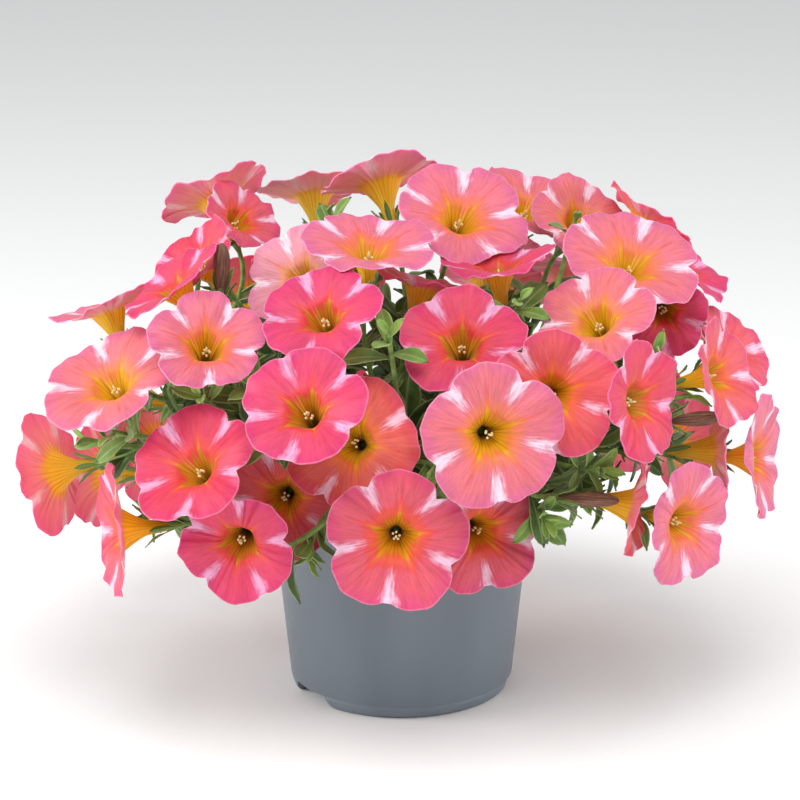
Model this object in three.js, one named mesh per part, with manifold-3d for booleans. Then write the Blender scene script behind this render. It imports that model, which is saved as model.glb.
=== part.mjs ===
// A petchoa, the cross of a petunia and a calibrachoa, in full bloom in its grey plastic nursery pot.
// Millimetres, +Z up, origin at the middle of the pot's foot. The plant is a low dome of funnel-shaped blooms
// on sticky, leafy stems that rise from the soil. -Y is the front of the plant.
import * as THREE from 'three';
import { mergeVertices } from 'three/addons/utils/BufferGeometryUtils.js';
import Module from 'manifold-3d';

const wasm = await Module();
wasm.setup();

const DEG = Math.PI / 180;
const GOLDEN_ANGLE = 137.5 * DEG;
const CLEARANCE = 0.3; // what lies against another piece keeps this gap

// Colours of the real plant and its pot
const PETAL_COLOUR = { crimson: '#e0295c', coral: '#f0636a', pink: '#ee7fa0', pale: '#f6aeb4' };
const LEAF_COLOUR = '#5c8a35';
const SPENT_COLOUR = '#7a5a4a';
const POT_COLOUR = '#7b858e';
const SOIL_COLOUR = '#3a2a1f';

// The pot: thin injection-moulded plastic, tapered, with a rolled lip, a rounded foot and three drain notches
const POT = {
  height: 95,
  sides: 32,
  footRadius: 47.8,
  footWidth: 2.2,
  shoulderRadius: 51.8, // where the rounded foot meets the wall
  shoulderHeight: 6.3,
  wallTopRadius: 60.4,
  lipRadius: 62,
  lipHeight: 4,
  wall: 1.3,
  floorHeight: 7,
  notchAngles: [-56, 84, 194], // degrees from the front, towards +X
  notchWidth: 27,
  notchHeight: 6.4,
  drainRadius: 4,
  drainCircle: 34,
};

// The soil, filled to just under the lip, with a hole for each main stem
const SOIL = { top: 87, dome: 3, holeRadius: 4.7, holeTop: 105 };

// The main stems stand in holes in the soil, one in the middle and the others in a ring round it.
// A stem's run is given by four points, each its distance from the pot's axis and its height.
const STEM = {
  ring: 8,
  outer: [[21, 76], [21, 112], [44, 140], [88, 136]],
  middle: [[1, 76], [2, 110], [4, 140], [8, 172]],
  rootRadius: 2.3,
  tipRadius: 1.3,
  steps: 6,
  sides: 5,
};

// A side stem runs in one curve from a main stem to a calyx or to a rosette of leaves.
// It takes the first way that clears all other pieces: where it leaves the main stem, how far it swings, and how
// it comes to its end: straight on, or tilted over from above (90 degrees), from a side or from below.
// Where it can, it also leaves the space before each bloom open, as a plant does that grows to the light.
const STALK = {
  rootRadius: 1.35,
  endRadius: 1.1,
  steps: 3,
  sides: 3,
  leaveAt: [0.95, 0.85, 0.75, 0.65, 0.55, 0.45, 0.35],
  reach: [0.4, 0.6, 0.25],
  tilts: [[0, 0], [42, 90], [42, 0], [42, 180], [42, 270], [64, 90], [64, 0], [64, 180], [64, 270], [84, 0],
    [84, 180], [84, 270], [84, 90]],
};

// A bloom's sizes along its axis, from the middle of its mouth down its tube
const BLOOM = {
  lobes: 5,
  notch: 0.16, // how far each notch cuts into the edge, as a share of the radius
  eyeShare: 0.33, // where the flat part of the petals turns down into the funnel, as a share of the radius
  eyeDepth: 5,
  throatRadius: 2.8,
  throatDepth: 15,
  stamenDepth: 8,
  tubeTopRadius: 3.5,
  tubeTopDepth: 17,
  tubeRadius: 1.6,
  tubeDepth: 27,
  length: 29,
  petal: 1.1, // thickness where the petals leave the funnel, from which they thin to their edge
  openSpace: 30, // how far the space before a bloom is left open
  wave: 1.6, // how far the edge rises and falls
};

// The calyx: a small cup with five narrow sepals that stand off the tube
const CALYX = {
  stalkDepth: 32.4,
  notchRadius: 3,
  notchDepth: 26,
  tipRadius: 6.5,
  tipDepth: 18,
  floorDepth: 31,
};

// A leaf: narrow at its foot, widest towards its blunt tip, with a keel under it. Widths are shares of its length.
const LEAF = {
  foot: -0.9, // the foot stands this far behind the middle of its stem
  middleAt: 0.32,
  middleWidth: 0.1,
  wideAt: 0.74,
  wideWidth: 0.175,
  keel: 1.1,
  arch: 0.07,
  droop: 0.1,
  spacing: 42,
  length: [14, 25],
  spread: [45, 75],
};

// A rosette, from its outer leaves to the small upright ones at its tip
const ROSETTE = { leaves: 6, depth: 14, length: [24, 11], spread: [80, 22] };

// The view that the places of the blooms are read from: a camera before the plant, looking slightly down
const VIEW = { distance: 1300, targetX: -0.7, targetZ: 136.6, pitch: 16 * DEG, focal: 2838, middle: 400 };

// The blooms that show from the front. Each row: its node, its middle in the picture (u, v), how far it stands
// behind the pot's axis in mm, where it faces (azimuth from the front and elevation, degrees), the turn of its
// first notch in degrees, its width in mm and its colour. Blooms that cross each other share a node.
const BLOOMS = [
  [1, 396, 540, -128, 0, 8, -98, 60, 'coral'],
  [2, 494, 437, -143, 12, 10, -85, 61, 'pink'],
  [3, 303, 405, -142, -16, 42, -94, 54, 'crimson'],
  [4, 350, 442, -106, -14, 20, -42, 59, 'coral'],
  [5, 281, 500, -80, -8, 8, -105, 54, 'coral'],
  [6, 486, 535, -104, 22, 4, -87, 52, 'coral'],
  [7, 235, 549, -124, -14, -6, -60, 51, 'crimson'],
  [8, 108, 531, -92, -74, 0, -90, 58, 'coral'],
  [9, 190, 462, -118, -34, 44, -70, 57, 'crimson'],
  [10, 47, 473, -26, -110, -16, -90, 56, 'coral'],
  [11, 108, 376, -85, -34, 58, -80, 60, 'pink'],
  [12, 207, 339, -92, 8, 50, -90, 50, 'pink'],
  [13, 105, 300, -20, -117, 68, -90, 49, 'pink'],
  [14, 168, 277, -52, -80, 55, -90, 50, 'crimson'],
  [15, 213, 190, 34, -141, 52, -90, 54, 'pink'],
  [16, 245, 213, 3, 48, 45, -90, 38, 'coral'],
  [17, 190, 256, -24, -55, 45, -90, 43, 'crimson'],
  [18, 312, 185, 56, -165, 62, -90, 52, 'pale'],
  [19, 378, 173, 20, -150, 60, -90, 57, 'pink'],
  [20, 463, 210, -23, 22, 56, -76, 60, 'pink'],
  [21, 370, 239, -62, 20, 76, -90, 58, 'pink'],
  [22, 297, 273, -50, -25, 40, -90, 48, 'pale'],
  [23, 320, 309, -106, -20, 54, -90, 52, 'crimson'],
  [24, 461, 337, -100, -5, 50, -90, 54, 'crimson'],
  [25, 497, 256, -50, -75, 84, -90, 50, 'crimson'],
  [26, 425, 276, -36, 125, 72, -90, 48, 'crimson'],
  [27, 633, 256, -48, 22, 58, -90, 64, 'pink'],
  [28, 593, 314, -86, -30, 50, -90, 52, 'pink'],
  [29, 531, 200, 30, 40, 60, -90, 50, 'pink'],
  [29, 584, 216, 11, 30, 45, -90, 48, 'pink'],
  [32, 652, 212, 20, 110, 50, -90, 46, 'coral'],
  [32, 692, 260, 0, 78, 48, -90, 46, 'crimson'],
  [34, 668, 318, -47, 10, -8, -90, 38, 'crimson'],
  [35, 707, 320, -20, 85, 24, -90, 42, 'pale'],
  [35, 738, 345, -18, 62, 40, -90, 46, 'coral'],
  [37, 728, 372, -67, 62, 20, -90, 48, 'coral'],
  [38, 768, 458, -34, 70, 4, -90, 56, 'pink'],
  [39, 692, 526, -82, 46, 0, -90, 55, 'pink'],
  [40, 643, 508, -94, 80, -8, -90, 44, 'coral'],
  [41, 648, 401, -127, 55, 12, -90, 51, 'crimson'],
  [42, 554, 395, -125, 4, 14, -90, 54, 'coral'],
  [43, 724, 450, -48, 95, 0, -90, 40, 'pink'],
];

// Where the blooms behind lie: each head is three blooms that touch, round an azimuth and an elevation on the dome
const DOME = { centre: 92, radius: 158, height: 122 };
const HEADS = [
  [44, 127, 8, 'coral'],
  [45, 165, 4, 'pink'],
  [46, 203, 7, 'crimson'],
  [47, 241, 4, 'coral'],
  [48, 147, 45, 'pink'],
  [49, 208, 44, 'coral'],
];
const HEAD_OFFSETS = [[-8, -7], [8, -7], [0, 9]];
const HEAD_WIDTH = 57;

// Spent and closed blooms: where the tip of the roll is in the picture, its depth in mm and where it points
const SPENT_ROLL = [[2.2, 20], [3.6, 12], [2.6, 4]]; // radius and depth under the tip
const SPENT = [
  [724, 417, -70, 70, 10],
  [619, 501, -104, 80, 0],
  [224, 243, -50, 20, 75],
  [395, 228, -14, 30, 60],
];

// Shoots that end in a rosette of leaves: the tip in the picture, its depth and the way it grows
const SHOOTS = [
  [112, 432, -100, -40, 20],
  [90, 440, -60, -70, 20],
  [388, 335, -112, -10, 50],
  [655, 352, -95, 30, 30],
  [545, 520, -104, 30, -10],
  [602, 470, -95, 50, 10],
  [308, 556, -92, -30, -30],
  [200, 395, -95, -20, 30],
  [250, 385, -95, -15, 40],
  [150, 515, -70, -60, -10],
  [575, 222, -10, 20, 60],
  [330, 215, -5, -10, 60],
  [520, 300, -75, 10, 40],
  [690, 395, -60, 60, 20],
  [440, 470, -110, 10, 0],
  [580, 500, -60, 50, -20],
];

// Helpers

function seeded(seed, k) {
  const x = Math.sin(seed * 12.9898 + k * 78.233) * 43758.5453;
  return x - Math.floor(x);
}

// Triangles between two closed rings of points that may differ in count
function stitch(first, second, triangles, turned) {
  let i = 0;
  let j = 0;
  while (i < first.length || j < second.length) {
    const stepFirst = (i + 1) / first.length <= (j + 1) / second.length;
    const a = first[i % first.length];
    const b = second[j % second.length];
    const c = stepFirst ? first[(i + 1) % first.length] : second[(j + 1) % second.length];
    if (a !== b && b !== c && a !== c) triangles.push(...(turned ? [a, b, c] : [a, c, b]));
    if (stepFirst) i += 1;
    else j += 1;
  }
}

// A closed solid through a row of rings, each a list of points that runs anticlockwise seen from the row's far end.
// From ring `turn` on, a pair of rings is stitched from its far side, so that both faces of a blade split alike.
function loft(rings, turn = Infinity) {
  const points = [];
  const rows = rings.map((ring) => ring.map((p) => points.push(p) - 1));
  const triangles = [];
  const [first] = rows;
  const last = rows[rows.length - 1];
  for (let i = 1; i + 1 < first.length; i += 1) triangles.push(first[0], first[i + 1], first[i]);
  for (let i = 1; i + 1 < last.length; i += 1) triangles.push(last[0], last[i], last[i + 1]);
  for (let r = 0; r + 1 < rows.length; r += 1) {
    if (r < turn) stitch(rows[r], rows[r + 1], triangles, false);
    else stitch(rows[r + 1], rows[r], triangles, true);
  }
  const geometry = new THREE.BufferGeometry().setFromPoints(points);
  geometry.setIndex(triangles);
  return geometry;
}

function solidOf(geometry) {
  const bare = geometry.clone();
  for (const name of Object.keys(bare.attributes)) {
    if (name !== 'position') bare.deleteAttribute(name);
  }
  const merged = mergeVertices(bare, 1e-4);
  const solid = new wasm.Manifold(new wasm.Mesh({
    numProp: 3,
    vertProperties: new Float32Array(merged.attributes.position.array),
    triVerts: new Uint32Array(merged.index.array),
  }));
  if (solid.volume() <= 0) throw new Error('a solid is inside out');
  return solid;
}

function geometryOf(solid) {
  const mesh = solid.getMesh();
  const geometry = new THREE.BufferGeometry();
  geometry.setAttribute('position', new THREE.BufferAttribute(new Float32Array(mesh.vertProperties), 3));
  geometry.setIndex(new THREE.BufferAttribute(new Uint32Array(mesh.triVerts), 1));
  return geometry;
}

function material(name, colour, roughness) {
  return new THREE.MeshStandardMaterial({ name, color: colour, roughness, metalness: 0 });
}

// The point on the sight line of a picture point (u, v) that stands `y` behind the pot's axis
function placeAt(u, v, y) {
  const { distance, pitch, focal, middle } = VIEW;
  const eye = new THREE.Vector3(VIEW.targetX, -distance * Math.cos(pitch), VIEW.targetZ + distance * Math.sin(pitch));
  const ray = new THREE.Vector3(0, Math.cos(pitch), -Math.sin(pitch));
  ray.x += (u - middle) / focal;
  ray.addScaledVector(new THREE.Vector3(0, Math.sin(pitch), Math.cos(pitch)), (middle - v) / focal);
  return eye.addScaledVector(ray, (y - eye.y) / ray.y);
}

// A direction given by its azimuth from the front, towards +X, and its elevation
function facing(azimuth, elevation) {
  const a = azimuth * DEG;
  const e = elevation * DEG;
  return new THREE.Vector3(Math.sin(a) * Math.cos(e), -Math.cos(a) * Math.cos(e), Math.sin(e));
}

// A frame at a place, its Z along the way something faces and its X level
function frameAt(place, azimuth, elevation) {
  const z = facing(azimuth, elevation);
  const x = new THREE.Vector3(Math.cos(azimuth * DEG), Math.sin(azimuth * DEG), 0);
  return new THREE.Matrix4().makeBasis(x, z.clone().cross(x), z).setPosition(place);
}

// A ring of points round Z at a depth below the mouth
function ring(count, radius, depth, turn = 0) {
  return Array.from({ length: count }, (_, i) => {
    const a = (i / count) * 2 * Math.PI + turn;
    return new THREE.Vector3(radius * Math.cos(a), radius * Math.sin(a), -depth);
  });
}

// What is already in place, with its owner, for the stems and leaves to keep clear of
const placed = [];

function keep(solid, owner) {
  placed.push({ solid, owner, box: solid.boundingBox() });
}

// The spaces before the blooms, which stems and leaves leave open
const spaces = [];

// How much of a solid stands in these spaces
function volumeBefore(solid) {
  const box = solid.boundingBox();
  return spaces
    .filter((other) => [0, 1, 2].every((k) => other.box.min[k] <= box.max[k] && other.box.max[k] >= box.min[k]))
    .reduce((sum, other) => sum + solid.intersect(other.solid).volume(), 0);
}

function isClear(solid, ignored = () => false) {
  const box = solid.boundingBox();
  return placed.every((other) => ignored(other.owner)
    || [0, 1, 2].some((k) => other.box.min[k] > box.max[k] || other.box.max[k] < box.min[k])
    || solid.intersect(other.solid).isEmpty());
}

const plant = new THREE.Group();

function addPiece(name, solid, pieceMaterial) {
  if (solid.decompose().length !== 1) throw new Error(`${name} is not in one piece`);
  const mesh = new THREE.Mesh(geometryOf(solid), pieceMaterial);
  mesh.name = name;
  plant.add(mesh);
}

// Pot

function potSolid() {
  const { footRadius, footWidth, shoulderRadius, shoulderHeight, wallTopRadius, lipRadius } = POT;
  const lipBottom = POT.height - POT.lipHeight;
  const profile = [
    [0, POT.floorHeight],
    [footRadius - footWidth - 0.6, POT.floorHeight],
    [footRadius - footWidth, 0],
    [footRadius, 0],
    [footRadius + 2.7, shoulderHeight * 0.38],
    [shoulderRadius, shoulderHeight],
    [wallTopRadius, lipBottom],
    [lipRadius, lipBottom + 0.8],
    [lipRadius, POT.height - 0.6],
    [lipRadius - 0.8, POT.height],
    [wallTopRadius - POT.wall + 0.3, POT.height],
    [shoulderRadius - POT.wall - 1, POT.floorHeight + POT.wall],
    [0, POT.floorHeight + POT.wall],
  ].map(([x, y]) => new THREE.Vector2(x, y));
  return solidOf(new THREE.LatheGeometry(profile, POT.sides).rotateX(Math.PI / 2));
}

// A notch is cut through the foot ring with slanted ends, so that water runs out from under the pot.
function notchSolid(angle) {
  const half = POT.notchWidth / 2;
  const outline = new THREE.Shape([
    new THREE.Vector2(-half - 1.5, -1),
    new THREE.Vector2(half + 1.5, -1),
    new THREE.Vector2(half - 2, POT.notchHeight),
    new THREE.Vector2(-half + 2, POT.notchHeight),
  ]);
  const cutter = new THREE.ExtrudeGeometry(outline, { depth: 20, bevelEnabled: false });
  return solidOf(cutter.rotateX(Math.PI / 2).translate(0, -POT.footRadius + 8, 0).rotateZ(angle * DEG));
}

function drainSolid(angle) {
  const drain = new THREE.CylinderGeometry(POT.drainRadius, POT.drainRadius, 8, 8);
  return solidOf(drain.rotateX(Math.PI / 2).translate(0, -POT.drainCircle, POT.floorHeight).rotateZ(angle * DEG));
}

let pot = potSolid();
for (const angle of POT.notchAngles) pot = pot.subtract(notchSolid(angle)).subtract(drainSolid(angle));
addPiece('pot', pot, material('grey plastic', POT_COLOUR, 0.5));
keep(pot, 'pot');

// Main stems

function stemCurve(points, azimuth) {
  const [a, b, c, d] = points.map(([out, z]) => facing(azimuth, 0).multiplyScalar(out).setZ(z));
  return new THREE.CubicBezierCurve3(a, b, c, d);
}

// The point at a share of a curve that is drawn in straight steps
function onSteps(curve, steps, share) {
  const i = Math.min(Math.floor(share * steps), steps - 1);
  return curve.getPoint(i / steps).lerp(curve.getPoint((i + 1) / steps), share * steps - i);
}

// Where a ring of points round a stem starts
const SIDE = new THREE.Vector3(0.2, 0.3, 1);

// Rings of points along a curve, tapering from one radius to the other
function tubeRings(curve, steps, sides, startRadius, endRadius, from = 0) {
  const rings = [];
  let side = SIDE;
  for (let i = 0; i <= steps; i += 1) {
    const share = from + (i / steps) * (1 - from);
    const centre = curve.getPoint(share);
    const along = curve.getTangent(share);
    side = side.clone().addScaledVector(along, -side.dot(along)).normalize();
    const across = along.clone().cross(side);
    const radius = startRadius + (endRadius - startRadius) * share;
    rings.push(Array.from({ length: sides }, (_, k) => {
      const a = (k / sides) * 2 * Math.PI;
      return centre.clone().addScaledVector(side, radius * Math.cos(a)).addScaledVector(across, radius * Math.sin(a));
    }));
  }
  return rings;
}

const stems = [{ name: 'stem_middle', azimuth: 0, curve: stemCurve(STEM.middle, 20), solids: [] }];
for (let i = 0; i < STEM.ring; i += 1) {
  const azimuth = (i * 360) / STEM.ring;
  stems.push({ name: `stem_${i + 1}`, azimuth, curve: stemCurve(STEM.outer, azimuth), solids: [] });
}
for (const stem of stems) {
  const solid = solidOf(loft(tubeRings(stem.curve, STEM.steps, STEM.sides, STEM.rootRadius, STEM.tipRadius)));
  stem.solids.push(solid);
  keep(solid, stem.name);
}

// Soil

function soilSolid() {
  const inner = POT.shoulderRadius - POT.wall - 1;
  const slope = (POT.wallTopRadius - POT.wall + 0.3 - inner) / (POT.height - POT.floorHeight - POT.wall);
  const bottom = POT.floorHeight + POT.wall + CLEARANCE;
  const radiusAt = (z) => inner + slope * (z - POT.floorHeight - POT.wall) - 1.4 * CLEARANCE;
  const profile = [
    [0, bottom],
    [radiusAt(bottom), bottom],
    [radiusAt(SOIL.top), SOIL.top],
    [radiusAt(SOIL.top) * 0.65, SOIL.top + SOIL.dome * 0.8],
    [0, SOIL.top + SOIL.dome],
  ].map(([x, y]) => new THREE.Vector2(x, y));
  let soil = solidOf(new THREE.LatheGeometry(profile, POT.sides).rotateX(Math.PI / 2));
  for (const stem of stems) {
    const [root] = stem.curve.getPoints(1);
    const floor = root.z - CLEARANCE;
    const hole = new THREE.CylinderGeometry(SOIL.holeRadius, SOIL.holeRadius, SOIL.holeTop - floor, 6);
    soil = soil.subtract(solidOf(hole.rotateX(Math.PI / 2).translate(root.x, root.y, (SOIL.holeTop + floor) / 2)));
  }
  return soil;
}

const soil = soilSolid();
addPiece('soil', soil, material('peat soil', SOIL_COLOUR, 0.95));
keep(soil, 'soil');

// Blooms

// The edge of a bloom at angle a from its first notch: its reach as a share of the radius, and its rise
function bloomEdge(a, seed) {
  const toNotch = Math.abs(Math.cos((BLOOM.lobes * a) / 2));
  const lobe = Math.floor((a / (2 * Math.PI)) * BLOOM.lobes + 1e-6) % BLOOM.lobes;
  const uneven = 1 + (seeded(seed, lobe) - 0.5) * 0.09 * (1 - toNotch ** 4);
  const rise = BLOOM.wave * (0.7 * Math.sin(3 * a + seed) + 0.6 * Math.sin(2 * a + 2.1 * seed)) - 1.2 * toNotch ** 2;
  return { reach: (1 - BLOOM.notch * toNotch ** 6) * uneven, rise };
}

// One bloom about its own axis, +Z the way it faces, with its mouth's middle at the origin
function bloomSolid(frame, width, turn, seed) {
  const radius = width / 2;
  const count = 4 * BLOOM.lobes;
  const edge = Array.from({ length: count }, (_, i) => {
    const a = ((i + 2) / count) * 2 * Math.PI;
    const { reach, rise } = bloomEdge(a, seed);
    return new THREE.Vector3(radius * reach * Math.cos(a + turn), radius * reach * Math.sin(a + turn), rise);
  });
  const eye = radius * BLOOM.eyeShare;
  const corner = turn + Math.PI / BLOOM.lobes;
  return solidOf(loft([
    [new THREE.Vector3(0, 0, -BLOOM.length)],
    ring(5, BLOOM.tubeRadius, BLOOM.tubeDepth, corner),
    ring(5, BLOOM.tubeTopRadius, BLOOM.tubeTopDepth, corner),
    ring(5, eye + 0.4, BLOOM.eyeDepth + BLOOM.petal, corner),
    edge,
    ring(5, eye, BLOOM.eyeDepth, corner),
    ring(5, BLOOM.throatRadius, BLOOM.throatDepth, corner),
    [new THREE.Vector3(0, 0, -BLOOM.stamenDepth)],
  ], 4).applyMatrix4(frame));
}

// A place on the dome, by azimuth and elevation, with the way that the dome faces there
function onDome(azimuth, elevation) {
  const out = facing(azimuth, elevation);
  return new THREE.Vector3(out.x * DOME.radius, out.y * DOME.radius, DOME.centre + out.z * DOME.height);
}

const flowers = BLOOMS.map(([node, u, v, y, azimuth, elevation, turn, width, colour]) => ({
  node, place: placeAt(u, v, y), azimuth, elevation, turn: turn * DEG, width, colour,
}));
for (const [node, azimuth, elevation, colour] of HEADS) {
  HEAD_OFFSETS.forEach(([across, up], i) => {
    const place = onDome(azimuth + across / Math.cos(elevation * DEG), elevation + up);
    flowers.push({
      node,
      place,
      azimuth: azimuth + across * 1.3 + 16 * (seeded(node, i) - 0.5),
      elevation: elevation + up + 14 * (seeded(node, i + 5) - 0.3),
      turn: 2 * seeded(node, i + 9),
      width: HEAD_WIDTH,
      colour,
    });
  });
}

const petals = Object.fromEntries(
  Object.entries(PETAL_COLOUR).map(([name, colour]) => [name, material(`${name} petals`, colour, 0.6)]),
);
const heads = new Map();
flowers.forEach((flower, i) => {
  flower.frame = frameAt(flower.place, flower.azimuth, flower.elevation);
  const solid = bloomSolid(flower.frame, flower.width, flower.turn, i + 1);
  keep(solid, `flower_${i + 1}`);
  const radius = flower.width / 2;
  const space = solidOf(loft([ring(8, 0.45 * radius, -1), ring(8, 0.75 * radius, -BLOOM.openSpace)])
    .applyMatrix4(flower.frame));
  spaces.push({ solid: space, box: space.boundingBox() });
  if (heads.has(flower.node)) heads.get(flower.node).solids.push(solid);
  else heads.set(flower.node, { solids: [solid], colour: flower.colour });
});
for (const [node, { solids, colour }] of heads) {
  addPiece(`bloom_${String(node).padStart(2, '0')}`, wasm.Manifold.union(solids), petals[colour]);
}

// Spent blooms: the same tube, with the petals rolled up into a limp, pointed roll

function spentSolid(frame, seed) {
  const roll = SPENT_ROLL.map(([radius, depth], i) => ring(6, radius, depth, 0.4 * i).map(
    (p, k) => p.multiply(new THREE.Vector3(1 + 0.3 * seeded(seed, k), 1 - 0.25 * seeded(seed, k + 6), 1)),
  ));
  return solidOf(loft([
    [new THREE.Vector3(0, 0, -BLOOM.length)],
    ring(6, BLOOM.tubeRadius, BLOOM.tubeDepth),
    ...roll,
    [new THREE.Vector3(1.5, -1, 0)],
  ]).applyMatrix4(frame));
}

const spentMaterial = material('spent petals', SPENT_COLOUR, 0.8);
const spent = SPENT.map(([u, v, y, azimuth, elevation], i) => {
  const frame = frameAt(placeAt(u, v, y), azimuth, elevation);
  const solid = spentSolid(frame, i + 1);
  keep(solid, `spent_${i + 1}`);
  addPiece(`spent_bloom_${i + 1}`, solid, spentMaterial);
  return { owner: `spent_${i + 1}`, frame };
});

// Calyces and their stalks

// The calyx carries on from the last ring of its stalk.
function calyxRings(stalkRings, frame, grow = 0) {
  const end = stalkRings[stalkRings.length - 1][0].clone().applyMatrix4(frame.clone().invert());
  const turn = Math.atan2(end.y, end.x);
  const star = Array.from({ length: 10 }, (_, i) => {
    const a = (i / 10) * 2 * Math.PI + turn;
    const [radius, depth] = i % 2 ? [CALYX.notchRadius, CALYX.notchDepth] : [CALYX.tipRadius, CALYX.tipDepth];
    return new THREE.Vector3((radius + grow) * Math.cos(a), (radius + grow) * Math.sin(a), grow - depth);
  });
  return [...stalkRings, ...[star, ring(1, 0, CALYX.floorDepth)].map((row) => row.map((p) => p.applyMatrix4(frame)))];
}

// The curve of a side stem from a main stem to its end, which it comes to along a direction
function stalkCurve(stem, leaveAt, reach, end, along) {
  const start = onSteps(stem.curve, STEM.steps, leaveAt);
  const swing = start.distanceTo(end) * reach;
  const leave = end.clone().sub(start).normalize().add(stem.curve.getTangent(leaveAt)).normalize();
  return new THREE.CubicBezierCurve3(
    start,
    start.clone().addScaledVector(leave, swing),
    end.clone().addScaledVector(along, -swing),
    end,
  );
}

// The main stems in the order of how well they lie for a side stem that ends at a place
function stemsFor(end) {
  const azimuth = Math.atan2(end.x, -end.y) / DEG;
  const apart = (stem) => Math.abs(((stem.azimuth - azimuth + 540) % 360) - 180);
  const ringStems = stems.slice(1).sort((a, b) => apart(a) - apart(b)).slice(0, 3);
  return Math.hypot(end.x, end.y) < 55 ? [stems[0], ...ringStems] : [...ringStems, stems[0]];
}

// All the ways that a side stem may take to its end
function* waysTo(end, frame, turn) {
  const leaveAt = STALK.leaveAt.map((_, i) => STALK.leaveAt[(i + turn) % STALK.leaveAt.length]);
  const along = new THREE.Vector3().setFromMatrixColumn(frame, 2);
  const level = new THREE.Vector3().setFromMatrixColumn(frame, 0);
  for (const [tilt, from] of STALK.tilts) {
    const aside = level.clone().applyAxisAngle(along, from * DEG);
    const approach = along.clone().multiplyScalar(Math.cos(tilt * DEG)).addScaledVector(aside, -Math.sin(tilt * DEG));
    for (const stem of stemsFor(end)) {
      for (const reach of STALK.reach) {
        for (const at of leaveAt) {
          yield { stem, curve: stalkCurve(stem, at, reach, end, approach) };
        }
      }
    }
  }
}

function stalkRings(curve, grow = 0, from = 0) {
  return tubeRings(curve, STALK.steps, STALK.sides, STALK.rootRadius + grow, STALK.endRadius + grow, from);
}

// Adds a side stem, with its calyx where it has one, to the main stem that it leaves.
function grow(way, frame, hasCalyx) {
  const rings = stalkRings(way.curve);
  const solid = solidOf(loft(hasCalyx ? calyxRings(rings, frame) : rings));
  way.stem.solids.push(solid);
  keep(solid, `side of ${way.stem.name}`);
  return way;
}

// A side stem takes the first way that keeps clear of all else, or at least of all other pieces. Where none leaves
// the spaces before the blooms open, it takes the way that enters them least.
function growStalk(end, frame, owner, turn, hasCalyx) {
  const solidFor = (way) => solidOf(loft(stalkRings(way.curve, CLEARANCE, 0.12)));
  const fits = (way, stalk, mayCrossOwn) => {
    const own = (other) => other === way.stem.name || (mayCrossOwn && other === `side of ${way.stem.name}`);
    const ownToo = (other) => own(other) || other === owner;
    const ownGreen = (other) => other === way.stem.name || other === `side of ${way.stem.name}`;
    return isClear(stalk, own) && isClear(solidOf(loft(stalkRings(way.curve))), ownGreen)
      && (!hasCalyx || isClear(solidOf(loft(calyxRings(stalkRings(way.curve, 0, 0.9), frame, CLEARANCE))), ownToo));
  };
  for (const mayCrossOwn of [false, true]) {
    for (const way of waysTo(end, frame, turn)) {
      const stalk = solidFor(way);
      if (volumeBefore(stalk) === 0 && fits(way, stalk, mayCrossOwn)) return grow(way, frame, hasCalyx);
    }
  }
  let best = null;
  let least = Infinity;
  for (const way of waysTo(end, frame, turn)) {
    const stalk = solidFor(way);
    const inside = volumeBefore(stalk);
    if (inside < least && fits(way, stalk, true)) [best, least] = [way, inside];
  }
  if (!best) throw new Error(`no way for a stalk to ${owner}`);
  return grow(best, frame, hasCalyx);
}

const stalks = [
  ...flowers.map(({ frame }, i) => ({ owner: `flower_${i + 1}`, frame })),
  ...spent,
].map(({ owner, frame }, i) => (
  growStalk(new THREE.Vector3(0, 0, -CALYX.stalkDepth).applyMatrix4(frame), frame, owner, i, true)
));

const shoots = SHOOTS.map(([u, v, y, azimuth, elevation], i) => (
  growStalk(placeAt(u, v, y), frameAt(placeAt(u, v, y), azimuth, elevation), `shoot_${i + 1}`, i, false)
));

// Leaves

// A leaf from its foot along X, its upper face towards Z
function leafSolid(length, frame, grow = 0, from = 0) {
  const section = (x, half, z, keel) => [
    new THREE.Vector3(x, half + grow, z + grow),
    new THREE.Vector3(x, -half - grow, z + grow),
    new THREE.Vector3(x, 0, z - keel - grow),
  ];
  return solidOf(loft([
    from ? section(from, 0.5, 0, 0.4) : [new THREE.Vector3(LEAF.foot, 0, -0.3)],
    section(length * LEAF.middleAt, length * LEAF.middleWidth, length * LEAF.arch, LEAF.keel),
    section(length * LEAF.wideAt, length * LEAF.wideWidth, length * (LEAF.arch - LEAF.droop * 0.4), LEAF.keel),
    [new THREE.Vector3(length + grow, 0, length * (LEAF.arch - LEAF.droop) - LEAF.keel * 0.5)],
  ]).applyMatrix4(frame));
}

function growLeaf(stem, foot, along, turn, spread, length) {
  const side = SIDE.clone().addScaledVector(along, -SIDE.dot(along)).normalize();
  const across = along.clone().cross(side);
  const x = along.clone().multiplyScalar(Math.cos(spread))
    .addScaledVector(side, Math.cos(turn) * Math.sin(spread))
    .addScaledVector(across, Math.sin(turn) * Math.sin(spread));
  const z = along.clone().addScaledVector(x, -along.dot(x)).normalize();
  const frame = new THREE.Matrix4().makeBasis(x, z.clone().cross(x), z).setPosition(foot);
  const guard = leafSolid(length, frame, CLEARANCE, 3);
  if (!isClear(guard) || volumeBefore(guard) > 0) return;
  const solid = leafSolid(length, frame);
  stem.solids.push(solid);
  keep(solid, `side of ${stem.name}`);
}

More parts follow.
